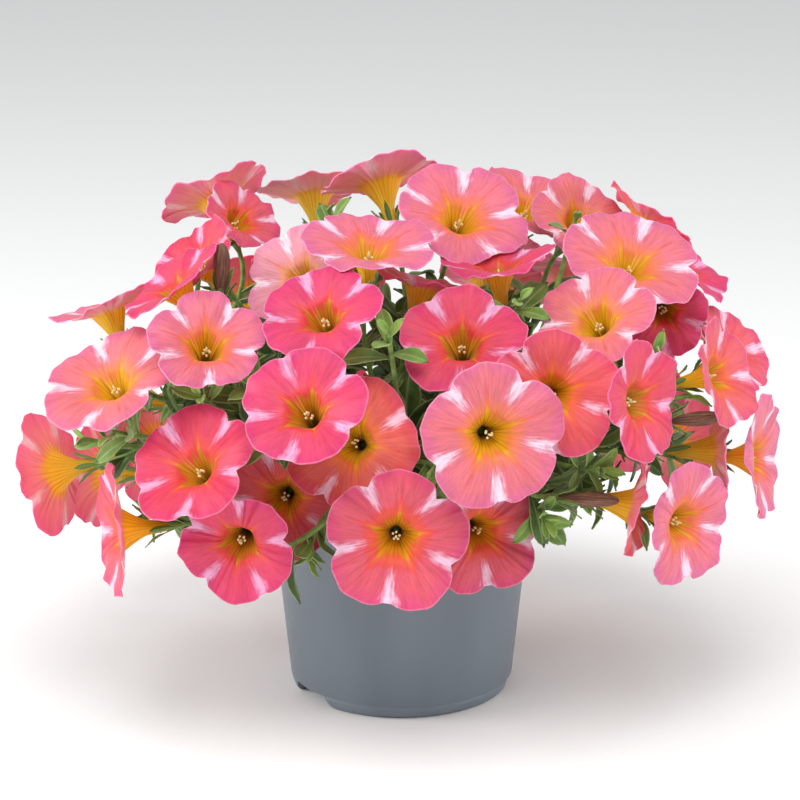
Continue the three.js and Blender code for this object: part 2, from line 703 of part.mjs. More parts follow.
// Leaves stand along a curve in a spiral, each turned on from the last by the golden angle.
function leafAlong(stem, curve, steps, seed, from) {
  const count = Math.floor((curve.getLength() * (1 - from)) / LEAF.spacing);
  for (let i = 0; i < count; i += 1) {
    const share = from + (1 - from) * ((i + 0.5) / count);
    const length = LEAF.length[0] + (LEAF.length[1] - LEAF.length[0]) * seeded(seed, i);
    const spread = (LEAF.spread[0] + (LEAF.spread[1] - LEAF.spread[0]) * seeded(seed, i + 40)) * DEG;
    growLeaf(stem, onSteps(curve, steps, share), curve.getTangent(share), i * GOLDEN_ANGLE + seed, spread, length);
  }
}

shoots.forEach((shoot, s) => {
  for (let i = 0; i < ROSETTE.leaves; i += 1) {
    const share = i / (ROSETTE.leaves - 1);
    const at = 1 - ((1 - share) * ROSETTE.depth + 0.5) / shoot.curve.getLength();
    const length = ROSETTE.length[0] + (ROSETTE.length[1] - ROSETTE.length[0]) * share;
    const spread = (ROSETTE.spread[0] + (ROSETTE.spread[1] - ROSETTE.spread[0]) * share) * DEG;
    const foot = onSteps(shoot.curve, STALK.steps, at);
    growLeaf(shoot.stem, foot, shoot.curve.getTangent(at), i * GOLDEN_ANGLE + s, spread, length);
  }
});
stalks.forEach((stalk, i) => leafAlong(stalk.stem, stalk.curve, STALK.steps, i + 1, 0.3));
stems.forEach((stem, i) => leafAlong(stem, stem.curve, STEM.steps, i + 201, 0.4));

const leafMaterial = material('leaf green', LEAF_COLOUR, 0.6);
for (const stem of stems) addPiece(stem.name, wasm.Manifold.union(stem.solids), leafMaterial);

export default plant;
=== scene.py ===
import math

import bmesh
import bpy
import numpy as np
from mathutils import Matrix, Vector, noise
from mathutils.bvhtree import BVHTree
from mathutils.kdtree import KDTree


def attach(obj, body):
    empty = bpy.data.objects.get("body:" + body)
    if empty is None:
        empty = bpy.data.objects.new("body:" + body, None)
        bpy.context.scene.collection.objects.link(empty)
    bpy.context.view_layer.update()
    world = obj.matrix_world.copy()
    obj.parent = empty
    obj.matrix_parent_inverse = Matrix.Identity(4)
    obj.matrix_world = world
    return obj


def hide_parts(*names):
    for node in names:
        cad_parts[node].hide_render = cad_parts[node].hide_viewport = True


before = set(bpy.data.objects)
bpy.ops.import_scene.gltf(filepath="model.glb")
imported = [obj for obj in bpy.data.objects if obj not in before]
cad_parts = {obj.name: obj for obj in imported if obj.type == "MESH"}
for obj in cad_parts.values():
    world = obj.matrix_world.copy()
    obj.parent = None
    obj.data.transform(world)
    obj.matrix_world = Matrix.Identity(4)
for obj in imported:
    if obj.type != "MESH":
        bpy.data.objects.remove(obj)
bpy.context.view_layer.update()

# The view: a long lens before the plant, looking slightly down on it, with -Y as the front. The plant is
# grown from places in this square picture, so the blooms use the camera's numbers again. All sizes are in
# mm, but for those of the floor and the lights.
CAMERA_DISTANCE = 1300
CAMERA_TARGET = Vector((-0.7, 0, 136.6))
CAMERA_PITCH = math.radians(16)
CAMERA_FOCAL = 2838  # in picture points
CAMERA_CLIP_END = 50  # metres
PICTURE = 800
MM = 0.001

camera_data = bpy.data.cameras.new("camera")
camera_data.lens = CAMERA_FOCAL / PICTURE * camera_data.sensor_width
camera_data.clip_end = CAMERA_CLIP_END
camera = bpy.data.objects.new("camera", camera_data)
camera_place = CAMERA_TARGET + CAMERA_DISTANCE * Vector((0, -math.cos(CAMERA_PITCH), math.sin(CAMERA_PITCH)))
camera.location = camera_place * MM
camera.rotation_euler = (math.pi / 2 - CAMERA_PITCH, 0, 0)
bpy.context.collection.objects.link(camera)
bpy.context.scene.camera = camera
bpy.context.scene.view_settings.view_transform = "Standard"  # keeps the petals as vivid as they are


# The floor and the light: a pale studio table under large soft boxes. The ones at the sides stand low and
# give the pot its light edges, the left one more than the right. The one above makes the upper petals
# shine.
FLOOR_SIZE = 8.0  # metres from its middle to its edge
WORLD_LIGHT = 0.6
SOFT_BOXES = (  # name, place and width in metres, watts
    ("left_soft_box", (-1.6, -0.25, 0.7), 1.0, 20),
    ("right_soft_box", (1.6, -0.2, 0.6), 1.0, 10),
    ("top_soft_box", (0.0, -1.0, 1.7), 1.2, 21),
)


def linear(colour):
    """An sRGB hex colour as the linear colour that Blender's sockets take."""
    parts = [int(colour[i : i + 2], 16) / 255 for i in (1, 3, 5)]
    return tuple(c / 12.92 if c <= 0.04045 else ((c + 0.055) / 1.055) ** 2.4 for c in parts) + (1.0,)


def add_node(tree, kind, inputs=(), stops=(), **settings):
    """Adds a node with its settings, colour stops and inputs. The inputs go by name or number, or else in
    the order of the sockets. Each is a value, a socket to link, or a node, whose first output in use is
    linked."""
    node = tree.nodes.new("ShaderNode" + kind)
    for name, value in settings.items():
        setattr(node, name, value)
    for socket, value in inputs.items() if isinstance(inputs, dict) else enumerate(inputs):
        if isinstance(value, bpy.types.Node):
            value = next(output for output in value.outputs if output.enabled)
        if isinstance(value, bpy.types.NodeSocket):
            tree.links.new(value, node.inputs[socket])
        else:
            node.inputs[socket].default_value = value
    for i, (place, colour) in enumerate(stops):
        elements = node.color_ramp.elements
        element = elements[i] if i < 2 else elements.new(place)
        element.position = place
        element.color = linear(colour)
    return node


def new_material(name):
    """A material with its node tree, emptied."""
    material = bpy.data.materials.new(name)
    material.use_nodes = True
    material.node_tree.nodes.clear()
    return material, material.node_tree


def finish_material(tree, shader):
    """Ends a material with its shader."""
    add_node(tree, "OutputMaterial", (shader,))


def add_object(name, mesh, *materials):
    """Puts a mesh in the scene as an object at the origin."""
    for material in materials:
        mesh.materials.append(material)
    thing = bpy.data.objects.new(name, mesh)
    bpy.context.collection.objects.link(thing)
    return thing


floor_paint, tree = new_material("floor_matt_paint")
surface = {"Base Color": linear("#fdfdfc"), "Roughness": 0.9}
finish_material(tree, add_node(tree, "BsdfPrincipled", surface))
floor_mesh = bpy.data.meshes.new("floor")
floor_bm = bmesh.new()
bmesh.ops.create_grid(floor_bm, x_segments=1, y_segments=1, size=FLOOR_SIZE)
floor_bm.to_mesh(floor_mesh)
floor_bm.free()
add_object("floor", floor_mesh, floor_paint)

world = bpy.data.worlds.new("studio")
bpy.context.scene.world = world
world.use_nodes = True
world.node_tree.nodes["Background"].inputs["Color"].default_value = linear("#f3f4f6")
world.node_tree.nodes["Background"].inputs["Strength"].default_value = WORLD_LIGHT

for name, place, size, power in SOFT_BOXES:
    light_data = bpy.data.lights.new(name, "AREA")
    light_data.size = size
    light_data.energy = power
    light = bpy.data.objects.new(name, light_data)
    light.location = place
    light.rotation_euler = (CAMERA_TARGET * MM - Vector(place)).to_track_quat("-Z", "Y").to_euler()
    bpy.context.collection.objects.link(light)


# The pot: one thin injection moulding of grey polypropylene, spun about its axis, with a rolled lip, a
# rounded foot with a faint crease above it, and three drain notches with slanted ends through the foot
# ring. Each notch leads to a drain hole in the floor.
POT_HEIGHT = 95
POT_FOOT_RADIUS = 47.8
POT_FOOT_WIDTH = 2.2
POT_SHOULDER_RADIUS = 51.8
POT_SHOULDER_HEIGHT = 6.3
POT_WALL_TOP_RADIUS = 60.4
POT_LIP_RADIUS = 62
POT_LIP_HEIGHT = 4
POT_WALL = 1.3
POT_FLOOR_HEIGHT = 7
POT_NOTCHES = (-56, 84, 194)  # degrees from the front, towards +X
POT_NOTCH_WIDTH = 27
POT_NOTCH_HEIGHT = 6.4
POT_NOTCH_FLARE = 1.5  # how far the cut widens below the pot's foot
POT_NOTCH_DRAW = 2  # how far its ends slant in at the top
POT_NOTCH_INSET = 8  # where the cut starts, inside the foot's outer edge
POT_NOTCH_CUT = 20
POT_DRAIN_RADIUS = 4
POT_DRAIN_CIRCLE = 34
POT_DRAIN_CUT = 8
POT_DRAIN_STEPS = 24
POT_STEPS = 144
POT_SHARP_ANGLE = 40

lip_bottom = POT_HEIGHT - POT_LIP_HEIGHT
pot_inner_foot = POT_SHOULDER_RADIUS - POT_WALL - 1
pot_floor_top = POT_FLOOR_HEIGHT + POT_WALL
pot_profile = (  # radius and height, from the axis under the floor round the wall to the axis on the floor
    (0, POT_FLOOR_HEIGHT),
    (POT_FOOT_RADIUS - POT_FOOT_WIDTH - 0.6, POT_FLOOR_HEIGHT),
    (POT_FOOT_RADIUS - POT_FOOT_WIDTH, 0),
    (POT_FOOT_RADIUS, 0),
    (POT_FOOT_RADIUS + 1.4, 0.5),
    (POT_FOOT_RADIUS + 2.7, 2.0),
    (POT_SHOULDER_RADIUS - 0.45, 4.2),
    (POT_SHOULDER_RADIUS - 0.1, 5.9),
    (POT_SHOULDER_RADIUS - 0.25, POT_SHOULDER_HEIGHT - 0.1),  # the crease above the foot
    (POT_SHOULDER_RADIUS + 0.05, POT_SHOULDER_HEIGHT + 0.2),
    (POT_WALL_TOP_RADIUS, lip_bottom),
    (POT_LIP_RADIUS - 0.2, lip_bottom + 0.2),
    (POT_LIP_RADIUS, lip_bottom + 0.8),
    (POT_LIP_RADIUS, POT_HEIGHT - 0.7),
    (POT_LIP_RADIUS - 0.25, POT_HEIGHT - 0.2),
    (POT_LIP_RADIUS - 0.8, POT_HEIGHT),
    (POT_WALL_TOP_RADIUS - POT_WALL + 0.5, POT_HEIGHT),
    (POT_WALL_TOP_RADIUS - POT_WALL + 0.1, POT_HEIGHT - 0.4),
    (pot_inner_foot, pot_floor_top),
    (0, pot_floor_top),
)


def spun(profile, steps):
    """A bmesh turned about Z from a profile of (radius, height) points that starts and ends on the axis."""
    shape = bmesh.new()
    corners = [shape.verts.new((radius * MM, 0, height * MM)) for radius, height in profile]
    edges = [shape.edges.new(pair) for pair in zip(corners, corners[1:])]
    bmesh.ops.spin(
        shape, geom=corners + edges, cent=(0, 0, 0), axis=(0, 0, 1), angle=2 * math.pi, steps=steps,
        use_merge=True,
    )
    bmesh.ops.remove_doubles(shape, verts=shape.verts, dist=1e-6)
    bmesh.ops.recalc_face_normals(shape, faces=shape.faces)
    return shape


def new_mesh(name, shape, sharp_angle=None):
    """Writes a bmesh to a mesh with smooth faces, sharp where they meet at more than an angle in degrees."""
    mesh = bpy.data.meshes.new(name)
    shape.to_mesh(mesh)
    shape.free()
    mesh.shade_smooth()
    if sharp_angle:
        mesh.set_sharp_from_angle(angle=math.radians(sharp_angle))
    return mesh


pot = add_object("pot_shell", new_mesh("pot_shell", spun(pot_profile, POT_STEPS)))

cutters = bmesh.new()
half = POT_NOTCH_WIDTH / 2
notch_corners = (
    (-half - POT_NOTCH_FLARE, -1),
    (half + POT_NOTCH_FLARE, -1),
    (half - POT_NOTCH_DRAW, POT_NOTCH_HEIGHT),
    (-half + POT_NOTCH_DRAW, POT_NOTCH_HEIGHT),
)
for angle in POT_NOTCHES:
    turned = Matrix.Rotation(math.radians(angle), 4, "Z")
    near = POT_NOTCH_INSET - POT_FOOT_RADIUS
    outline = [cutters.verts.new(turned @ Vector((x * MM, near * MM, z * MM))) for x, z in notch_corners]
    face = cutters.faces.new(outline)
    deep = bmesh.ops.extrude_face_region(cutters, geom=[face], use_keep_orig=True)["geom"]
    far = [v for v in deep if isinstance(v, bmesh.types.BMVert)]
    bmesh.ops.translate(cutters, verts=far, vec=turned @ Vector((0, -POT_NOTCH_CUT * MM, 0)))
    drain = turned @ Matrix.Translation((0, -POT_DRAIN_CIRCLE * MM, POT_FLOOR_HEIGHT * MM))
    bmesh.ops.create_cone(
        cutters, cap_ends=True, segments=POT_DRAIN_STEPS, radius1=POT_DRAIN_RADIUS * MM,
        radius2=POT_DRAIN_RADIUS * MM, depth=POT_DRAIN_CUT * MM, matrix=drain,
    )
bmesh.ops.recalc_face_normals(cutters, faces=cutters.faces)
cutter = add_object("pot_cutter", new_mesh("pot_cutter", cutters))

cut = pot.modifiers.new("notches", "BOOLEAN")
cut.operation = "DIFFERENCE"
cut.solver = "EXACT"
cut.object = cutter
cut_mesh = bpy.data.meshes.new_from_object(pot.evaluated_get(bpy.context.evaluated_depsgraph_get()))
pot.modifiers.clear()
pot.data = cut_mesh
pot.data.set_sharp_from_angle(angle=math.radians(POT_SHARP_ANGLE))
bpy.data.objects.remove(cutter)

# Moulded polypropylene is dull and a little waxy, with a fine spark-eroded grain and faint flow marks.
polypropylene, tree = new_material("grey_polypropylene_moulded")
place = add_node(tree, "TexCoord").outputs["Object"]
grain = add_node(tree, "TexNoise", {"Vector": place, "Scale": 1800.0, "Detail": 2.0})
flow = add_node(tree, "Mapping", {"Vector": place, "Scale": (30.0, 30.0, 6.0)})
marks = add_node(tree, "TexNoise", {"Vector": flow, "Scale": 1.0, "Detail": 3.0})
shade = add_node(tree, "ValToRGB", (marks,), stops=((0.3, "#69737c"), (0.7, "#747e88")))
bump = add_node(tree, "Bump", {"Height": grain, "Strength": 0.12, "Distance": 0.0002})
dull = add_node(tree, "MapRange", (grain, 0.3, 0.7, 0.4, 0.5))
surface = {"Base Color": shade, "Roughness": dull, "Normal": bump, "IOR": 1.49}
finish_material(tree, add_node(tree, "BsdfPrincipled", surface))
pot.data.materials.append(polypropylene)
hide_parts("pot")
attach(pot, "root")


# The soil: a root ball of dark peat, slightly domed, with loose crumbs on top and a few white grains of
# perlite. It lies just inside the pot's wall.
SOIL_TOP = 87
SOIL_DOME = 3
SOIL_GAP = 0.3
SOIL_SIDE_GAP = 1.4 * SOIL_GAP
SOIL_STEPS = 72
SOIL_RINGS = 24
SOIL_LUMP_SIZE = 4
SOIL_LUMP_HEIGHT = 0.9
SOIL_SHARP_ANGLE = 50
CRUMBS = 420
CRUMB_RADIUS = (0.5, 1.8)
CRUMB_GRAIN = 1.5
CRUMB_ROUGHNESS = 0.3  # as a share of the radius
CRUMB_NOISES = (Vector((9, 0, 0)), Vector((0, 9, 0)), Vector((0, 0, 9)))  # where X, Y and Z take their noise
CRUMB_SPREAD = 0.97  # how near they lie to the soil's edge
PERLITE_SHARE = 0.05


def seeded(seed, k):
    """An even draw from 0 to 1 that is the same in every run."""
    x = math.sin(seed * 12.9898 + k * 78.233) * 43758.5453
    return x - math.floor(x)


def between(pair, share):
    """The value at a share of the way from the first of a pair to the second."""
    return pair[0] + (pair[1] - pair[0]) * share


soil_slope = (POT_WALL_TOP_RADIUS - POT_WALL + 0.3 - pot_inner_foot) / (POT_HEIGHT - pot_floor_top)
soil_bottom = pot_floor_top + SOIL_GAP
soil_top_radius = pot_inner_foot + soil_slope * (SOIL_TOP - pot_floor_top) - SOIL_SIDE_GAP
soil_profile = [(0, soil_bottom), (pot_inner_foot - SOIL_SIDE_GAP, soil_bottom), (soil_top_radius, SOIL_TOP)]
for k in range(1, SOIL_RINGS + 1):
    share = 1 - k / SOIL_RINGS
    soil_profile.append((soil_top_radius * share, SOIL_TOP + SOIL_DOME * (1 - share**2)))
soil_bm = spun(soil_profile, SOIL_STEPS)
for v in soil_bm.verts:
    if v.co.z > (SOIL_TOP + 0.1) * MM:
        v.co.z += noise.noise(v.co / (SOIL_LUMP_SIZE * MM)) * SOIL_LUMP_HEIGHT * MM
for i in range(CRUMBS):
    out = soil_top_radius * CRUMB_SPREAD * math.sqrt(seeded(1, i))
    azimuth = 2 * math.pi * seeded(2, i)
    radius = between(CRUMB_RADIUS, seeded(3, i) ** 2)
    height = SOIL_TOP + SOIL_DOME * (1 - (out / soil_top_radius) ** 2)
    spot = Matrix.Translation(Vector((out * math.cos(azimuth), out * math.sin(azimuth), height)) * MM)
    lump = bmesh.ops.create_icosphere(soil_bm, subdivisions=1, radius=radius * MM, matrix=spot)["verts"]
    for v in lump:
        grain_place = v.co / (CRUMB_GRAIN * MM)
        rough = Vector([noise.noise(grain_place + aside) for aside in CRUMB_NOISES])
        v.co += rough * CRUMB_ROUGHNESS * radius * MM
        for face in v.link_faces:
            face.material_index = int(seeded(4, i) < PERLITE_SHARE)
soil_mesh = new_mesh("soil_ball", soil_bm, SOIL_SHARP_ANGLE)

# Moist peat scatters light so much that it looks nearly black, with brown fibres.
peat, tree = new_material("moist_peat")
place = add_node(tree, "TexCoord").outputs["Object"]
crumb = add_node(tree, "TexNoise", {"Vector": place, "Scale": 500.0, "Detail": 6.0})
shade = add_node(tree, "ValToRGB", (crumb,), stops=((0.35, "#1e150f"), (0.7, "#4b382a")))
bump = add_node(tree, "Bump", {"Height": crumb, "Strength": 0.7, "Distance": 0.0008})
surface = {"Base Color": shade, "Roughness": 0.95, "Normal": bump}
finish_material(tree, add_node(tree, "BsdfPrincipled", surface))
# Perlite is puffed volcanic glass, chalky white.
perlite, tree = new_material("puffed_perlite")
place = add_node(tree, "TexCoord").outputs["Object"]
pores = add_node(tree, "TexVoronoi", {"Vector": place, "Scale": 2500.0})
shade = add_node(tree, "ValToRGB", (pores,), stops=((0.0, "#b9b4a8"), (0.6, "#eeebe2")))
surface = {"Base Color": shade, "Roughness": 0.9}
finish_material(tree, add_node(tree, "BsdfPrincipled", surface))
soil = add_object("soil_ball", soil_mesh, peat, perlite)
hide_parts("soil")
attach(soil, "root")


# The blooms: each is one thin funnel, a narrow tube that opens to a throat and five joined petal lobes with a
# shallow notch between them. Five anthers and a stigma stand in the throat, dusted with cream pollen.
BLOOMS = (
    # A row for each bloom that shows from the front: its node, its middle in the picture (u, v), how far it
    # stands behind the pot's axis, where it faces (azimuth from the front, elevation), the turn of its first
    # notch, all in degrees, its width and its colour.
    (1, 396, 540, -128, 0, 8, -98, 60, "coral"),
    (2, 494, 437, -143, 12, 10, -85, 61, "pink"),
    (3, 303, 405, -142, -16, 42, -94, 54, "crimson"),
    (4, 350, 442, -106, -14, 20, -42, 59, "coral"),
    (5, 281, 500, -80, -8, 8, -105, 54, "coral"),
    (6, 486, 535, -104, 22, 4, -87, 52, "coral"),
    (7, 235, 549, -124, -14, -6, -60, 51, "crimson"),
    (8, 108, 531, -92, -74, 0, -90, 58, "coral"),
    (9, 190, 462, -118, -34, 44, -70, 57, "crimson"),
    (10, 47, 473, -26, -110, -16, -90, 56, "coral"),
    (11, 108, 376, -85, -34, 58, -80, 60, "pink"),
    (12, 207, 339, -92, 8, 50, -90, 50, "pink"),
    (13, 105, 300, -20, -117, 68, -90, 49, "pink"),
    (14, 168, 277, -52, -80, 55, -90, 50, "crimson"),
    (15, 213, 190, 34, -141, 52, -90, 54, "pink"),
    (16, 245, 213, 3, 48, 45, -90, 38, "coral"),
    (17, 190, 256, -24, -55, 45, -90, 43, "crimson"),
    (18, 312, 185, 56, -165, 62, -90, 52, "pale"),
    (19, 378, 173, 20, -150, 60, -90, 57, "pink"),
    (20, 463, 210, -23, 22, 56, -76, 60, "pink"),
    (21, 370, 239, -62, 20, 76, -90, 58, "pink"),
    (22, 297, 273, -50, -25, 40, -90, 48, "pale"),
    (23, 320, 309, -106, -20, 54, -90, 52, "crimson"),
    (24, 461, 337, -100, -5, 50, -90, 54, "crimson"),
    (25, 497, 256, -50, -75, 84, -90, 50, "crimson"),
    (26, 425, 276, -36, 125, 72, -90, 48, "crimson"),
    (27, 633, 256, -48, 22, 58, -90, 64, "pink"),
    (28, 593, 314, -86, -30, 50, -90, 52, "pink"),
    (29, 531, 200, 30, 40, 60, -90, 50, "pink"),
    (29, 584, 216, 11, 30, 45, -90, 48, "pink"),
    (32, 652, 212, 20, 110, 50, -90, 46, "coral"),
    (32, 692, 260, 0, 78, 48, -90, 46, "crimson"),
    (34, 668, 318, -47, 10, -8, -90, 38, "crimson"),
    (35, 707, 320, -20, 85, 24, -90, 42, "pale"),
    (35, 738, 345, -18, 62, 40, -90, 46, "coral"),
    (37, 728, 372, -67, 62, 20, -90, 48, "coral"),
    (38, 768, 458, -34, 70, 4, -90, 56, "pink"),
    (39, 692, 526, -82, 46, 0, -90, 55, "pink"),
    (40, 643, 508, -94, 80, -8, -90, 44, "coral"),
    (41, 648, 401, -127, 55, 12, -90, 51, "crimson"),
    (42, 554, 395, -125, 4, 14, -90, 54, "coral"),
    (43, 724, 450, -48, 95, 0, -90, 40, "pink"),
)
# Where the blooms behind lie: each head is three blooms that touch, round an azimuth and an elevation on a
# dome.
HEADS = (
    (44, 127, 8, "coral"),
    (45, 165, 4, "pink"),
    (46, 203, 7, "crimson"),
    (47, 241, 4, "coral"),
    (48, 147, 45, "pink"),
    (49, 208, 44, "coral"),
)
HEAD_OFFSETS = ((-8, -7), (8, -7), (0, 9))  # degrees across and up
HEAD_SPREAD = 1.3  # how much more the blooms of a head face apart than they lie apart
HEAD_TURN_VARIES = 16  # degrees
HEAD_TILT_VARIES = 14
HEAD_WIDTH = 57
DOME_CENTRE = 92
DOME_RADIUS = 158
DOME_HEIGHT = 122
LOBES = 5
FUNNEL_VEINS = 25
SCALLOP = 0.07  # how far the edge draws in between two lobes, as a share of the radius
SLIT = (0.03, 0.15)  # how far the notch there cuts in further
LOBE_VARIES = 0.09
LOBE_POINT = 0.025
LOBE_POINT_WIDTH = 0.004
LOBE_BEND = 4.8
LOBE_SKEW = 2
LOBE_CROWN = 1.8
LOBE_CREASE = 0.4
NOTCH_DIP = 1.2
EYE_SHARE = 0.33  # where the flat part of the petals turns down into the funnel, as a share of the radius
EYE_DEPTH = 5
FUNNEL_DEPTH = 17  # where the funnel narrows to the tube
FUNNEL_RADIUS = 2.9
TUBE_RADIUS = 1.4
TUBE_DEPTH = 28.6
TUBE_FLUTE = 0.07  # the tube is faintly five-sided
PETAL = 0.45  # thickness
EDGE_WAVE = 1.6
EDGE_TEETH = 0.008
RUFFLE = 0.8
PETAL_STEPS = 90  # round the bloom
TUBE_DEPTHS = (28.6, 26, 23, 20, 17, 15, 13, 11, 9, 7, 5.8)
LIMB_SHARES = (0.36, 0.42, 0.48, 0.55, 0.62, 0.69, 0.76, 0.83, 0.89, 0.94, 0.98, 1.0)
LEVELS = [EYE_SHARE * (TUBE_DEPTH - d) / (TUBE_DEPTH - EYE_DEPTH) for d in TUBE_DEPTHS] + list(LIMB_SHARES)


def place_at(u, v, y):
    """The point on the sight line of a picture point that stands y behind the pot's axis."""
    ray = Vector((0, math.cos(CAMERA_PITCH), -math.sin(CAMERA_PITCH)))
    ray.x += (u - PICTURE / 2) / CAMERA_FOCAL
    ray += Vector((0, math.sin(CAMERA_PITCH), math.cos(CAMERA_PITCH))) * ((PICTURE / 2 - v) / CAMERA_FOCAL)
    return camera_place + ray * ((y - camera_place.y) / ray.y)


def facing(azimuth, elevation):
    """A direction by its azimuth from the front, towards +X, and its elevation, in degrees."""
    a, e = math.radians(azimuth), math.radians(elevation)
    return Vector((math.sin(a) * math.cos(e), -math.cos(a) * math.cos(e), math.sin(e)))


def framed(x, z, place):
    """The matrix with these X and Z axes at a place."""
    rows = zip(x, z.cross(x), z, place)
    return Matrix((*rows, (0, 0, 0, 1)))


def frame_at(place, azimuth, elevation):
    """A frame whose Z is the way that something faces and whose X is level."""
    a = math.radians(azimuth)
    return framed(Vector((math.cos(a), math.sin(a), 0)), facing(azimuth, elevation), place)


flowers = []
for node, u, v, y, azimuth, elevation, turn, width, colour in BLOOMS:
    spot = frame_at(place_at(u, v, y), azimuth, elevation)
    flower = {"node": node, "frame": spot, "turn": math.radians(turn), "width": width, "colour": colour}
    flowers.append(flower)
for node, azimuth, elevation, colour in HEADS:
    for i, (across, up) in enumerate(HEAD_OFFSETS):
        out = facing(azimuth + across / math.cos(math.radians(elevation)), elevation + up)
        place = Vector((out.x * DOME_RADIUS, out.y * DOME_RADIUS, DOME_CENTRE + out.z * DOME_HEIGHT))
        faces_to = azimuth + across * HEAD_SPREAD + HEAD_TURN_VARIES * (seeded(node, i) - 0.5)
        tilt = elevation + up + HEAD_TILT_VARIES * (seeded(node, i + 5) - 0.3)
        spot = frame_at(place, faces_to, tilt)
        turn = 2 * seeded(node, i + 9)
        flower = {"node": node, "frame": spot, "turn": turn, "width": HEAD_WIDTH, "colour": colour}
        flowers.append(flower)


PLACES = ("turn", "row", "back")


def write_places(shape, levels):
    """Writes a blank's places to its UV map and gives its outer layer the second material."""
    turn = shape.verts.layers.float["turn"]
    row = shape.verts.layers.float["row"]
    back = shape.verts.layers.float["back"]
    uv = shape.loops.layers.uv.new("place")
    for face in shape.faces:
        turns = [v[turn] for v in face.verts]
        crosses = max(turns) - min(turns) > 0.5
        face.material_index = int(any(v[back] for v in face.verts))
        for loop in face.loops:
            u = loop.vert[turn]
            level = levels[round(loop.vert[row] * (len(levels) - 1))]
            loop[uv].uv = (u + 1 if crosses and u < 0.5 else u, level)
    blank = new_mesh("blank", shape)
    return blank, {name: read_places(blank, name) for name in PLACES}


def read_places(mesh, name):
    """One float attribute of a mesh's points as an array."""
    values = np.empty(len(mesh.vertices), dtype=np.float32)
    mesh.attributes[name].data.foreach_get("value", values)
    return values


def rolled(steps, levels, layers):
    """A tube of rings round Z, of one layer or of an inner and an outer one, with its places in attributes:
    turn from 0 to 1 round it, row from 0 to 1 along it, and back, which is 1 on the outer layer. The levels
    are the v of each ring in its map."""
    rows = len(levels)
    shape = bmesh.new()
    turn, row, back = [shape.verts.layers.float.new(name) for name in PLACES]
    ring = bmesh.ops.create_circle(shape, segments=steps, radius=1)["verts"]
    for v in ring:
        v[turn] = round(math.atan2(v.co.y, v.co.x) / (2 * math.pi) * steps) / steps % 1
    edges = shape.edges[:]
    for k in range(1, rows):
        new = bmesh.ops.extrude_edge_only(shape, edges=edges)["geom"]
        ring = {g for g in new if isinstance(g, bmesh.types.BMVert)}
        edges = [g for g in new if isinstance(g, bmesh.types.BMEdge) and set(g.verts) <= ring]
        for v in ring:
            v[row] = k / (rows - 1)
            v.co.z = k / (rows - 1)
    if layers == 1:
        bmesh.ops.holes_fill(shape, edges=[e for e in shape.edges if e.is_boundary], sides=steps)
    else:
        new = bmesh.ops.extrude_face_region(shape, geom=shape.faces[:], use_keep_orig=True)["geom"]
        for v in new:
            if isinstance(v, bmesh.types.BMVert):
                v[back] = 1
                v.co.xy *= 1.1
    bmesh.ops.recalc_face_normals(shape, faces=shape.faces)
    return write_places(shape, levels)


def shaped(blank, points):
    """A copy of a blank with its points in the place of the blank's."""
    mesh = blank.copy()
    mesh.vertices.foreach_set("co", (points * MM).astype(np.float32).ravel())
    mesh.update()
    return mesh


def moved(points, spot):
    """An array of points through a matrix."""
    return points @ np.array(spot.to_3x3()).T + np.array(spot.translation)


def on_tube(grid, places):
    """The points of a rolled blank of one layer from a grid of rows of points."""
    rows = np.rint(places["row"] * (len(grid) - 1)).astype(int)
    turns = np.rint(places["turn"] * grid.shape[1]).astype(int) % grid.shape[1]
    return grid[rows, turns]


def on_sheet(grid, places, thickness, closed):
    """The points of a blank of two layers from a grid of rows of points, with its back behind its face."""
    if closed:
        around = (np.roll(grid, -1, axis=1) - np.roll(grid, 1, axis=1)) / 2
    else:
        around = np.gradient(grid, axis=1)
    normals = np.cross(around, np.gradient(grid, axis=0))
    normals /= np.maximum(np.linalg.norm(normals, axis=2, keepdims=True), 1e-9)
    rows = np.rint(places["row"] * (grid.shape[0] - 1)).astype(int)
    columns = grid.shape[1] if closed else grid.shape[1] - 1
    turns = np.rint(places["turn"] * columns).astype(int) % grid.shape[1]
    return grid[rows, turns] + normals[rows, turns] * (places["back"] * thickness)[:, None]


bloom_blank, bloom_places = rolled(PETAL_STEPS, LEVELS, 2)


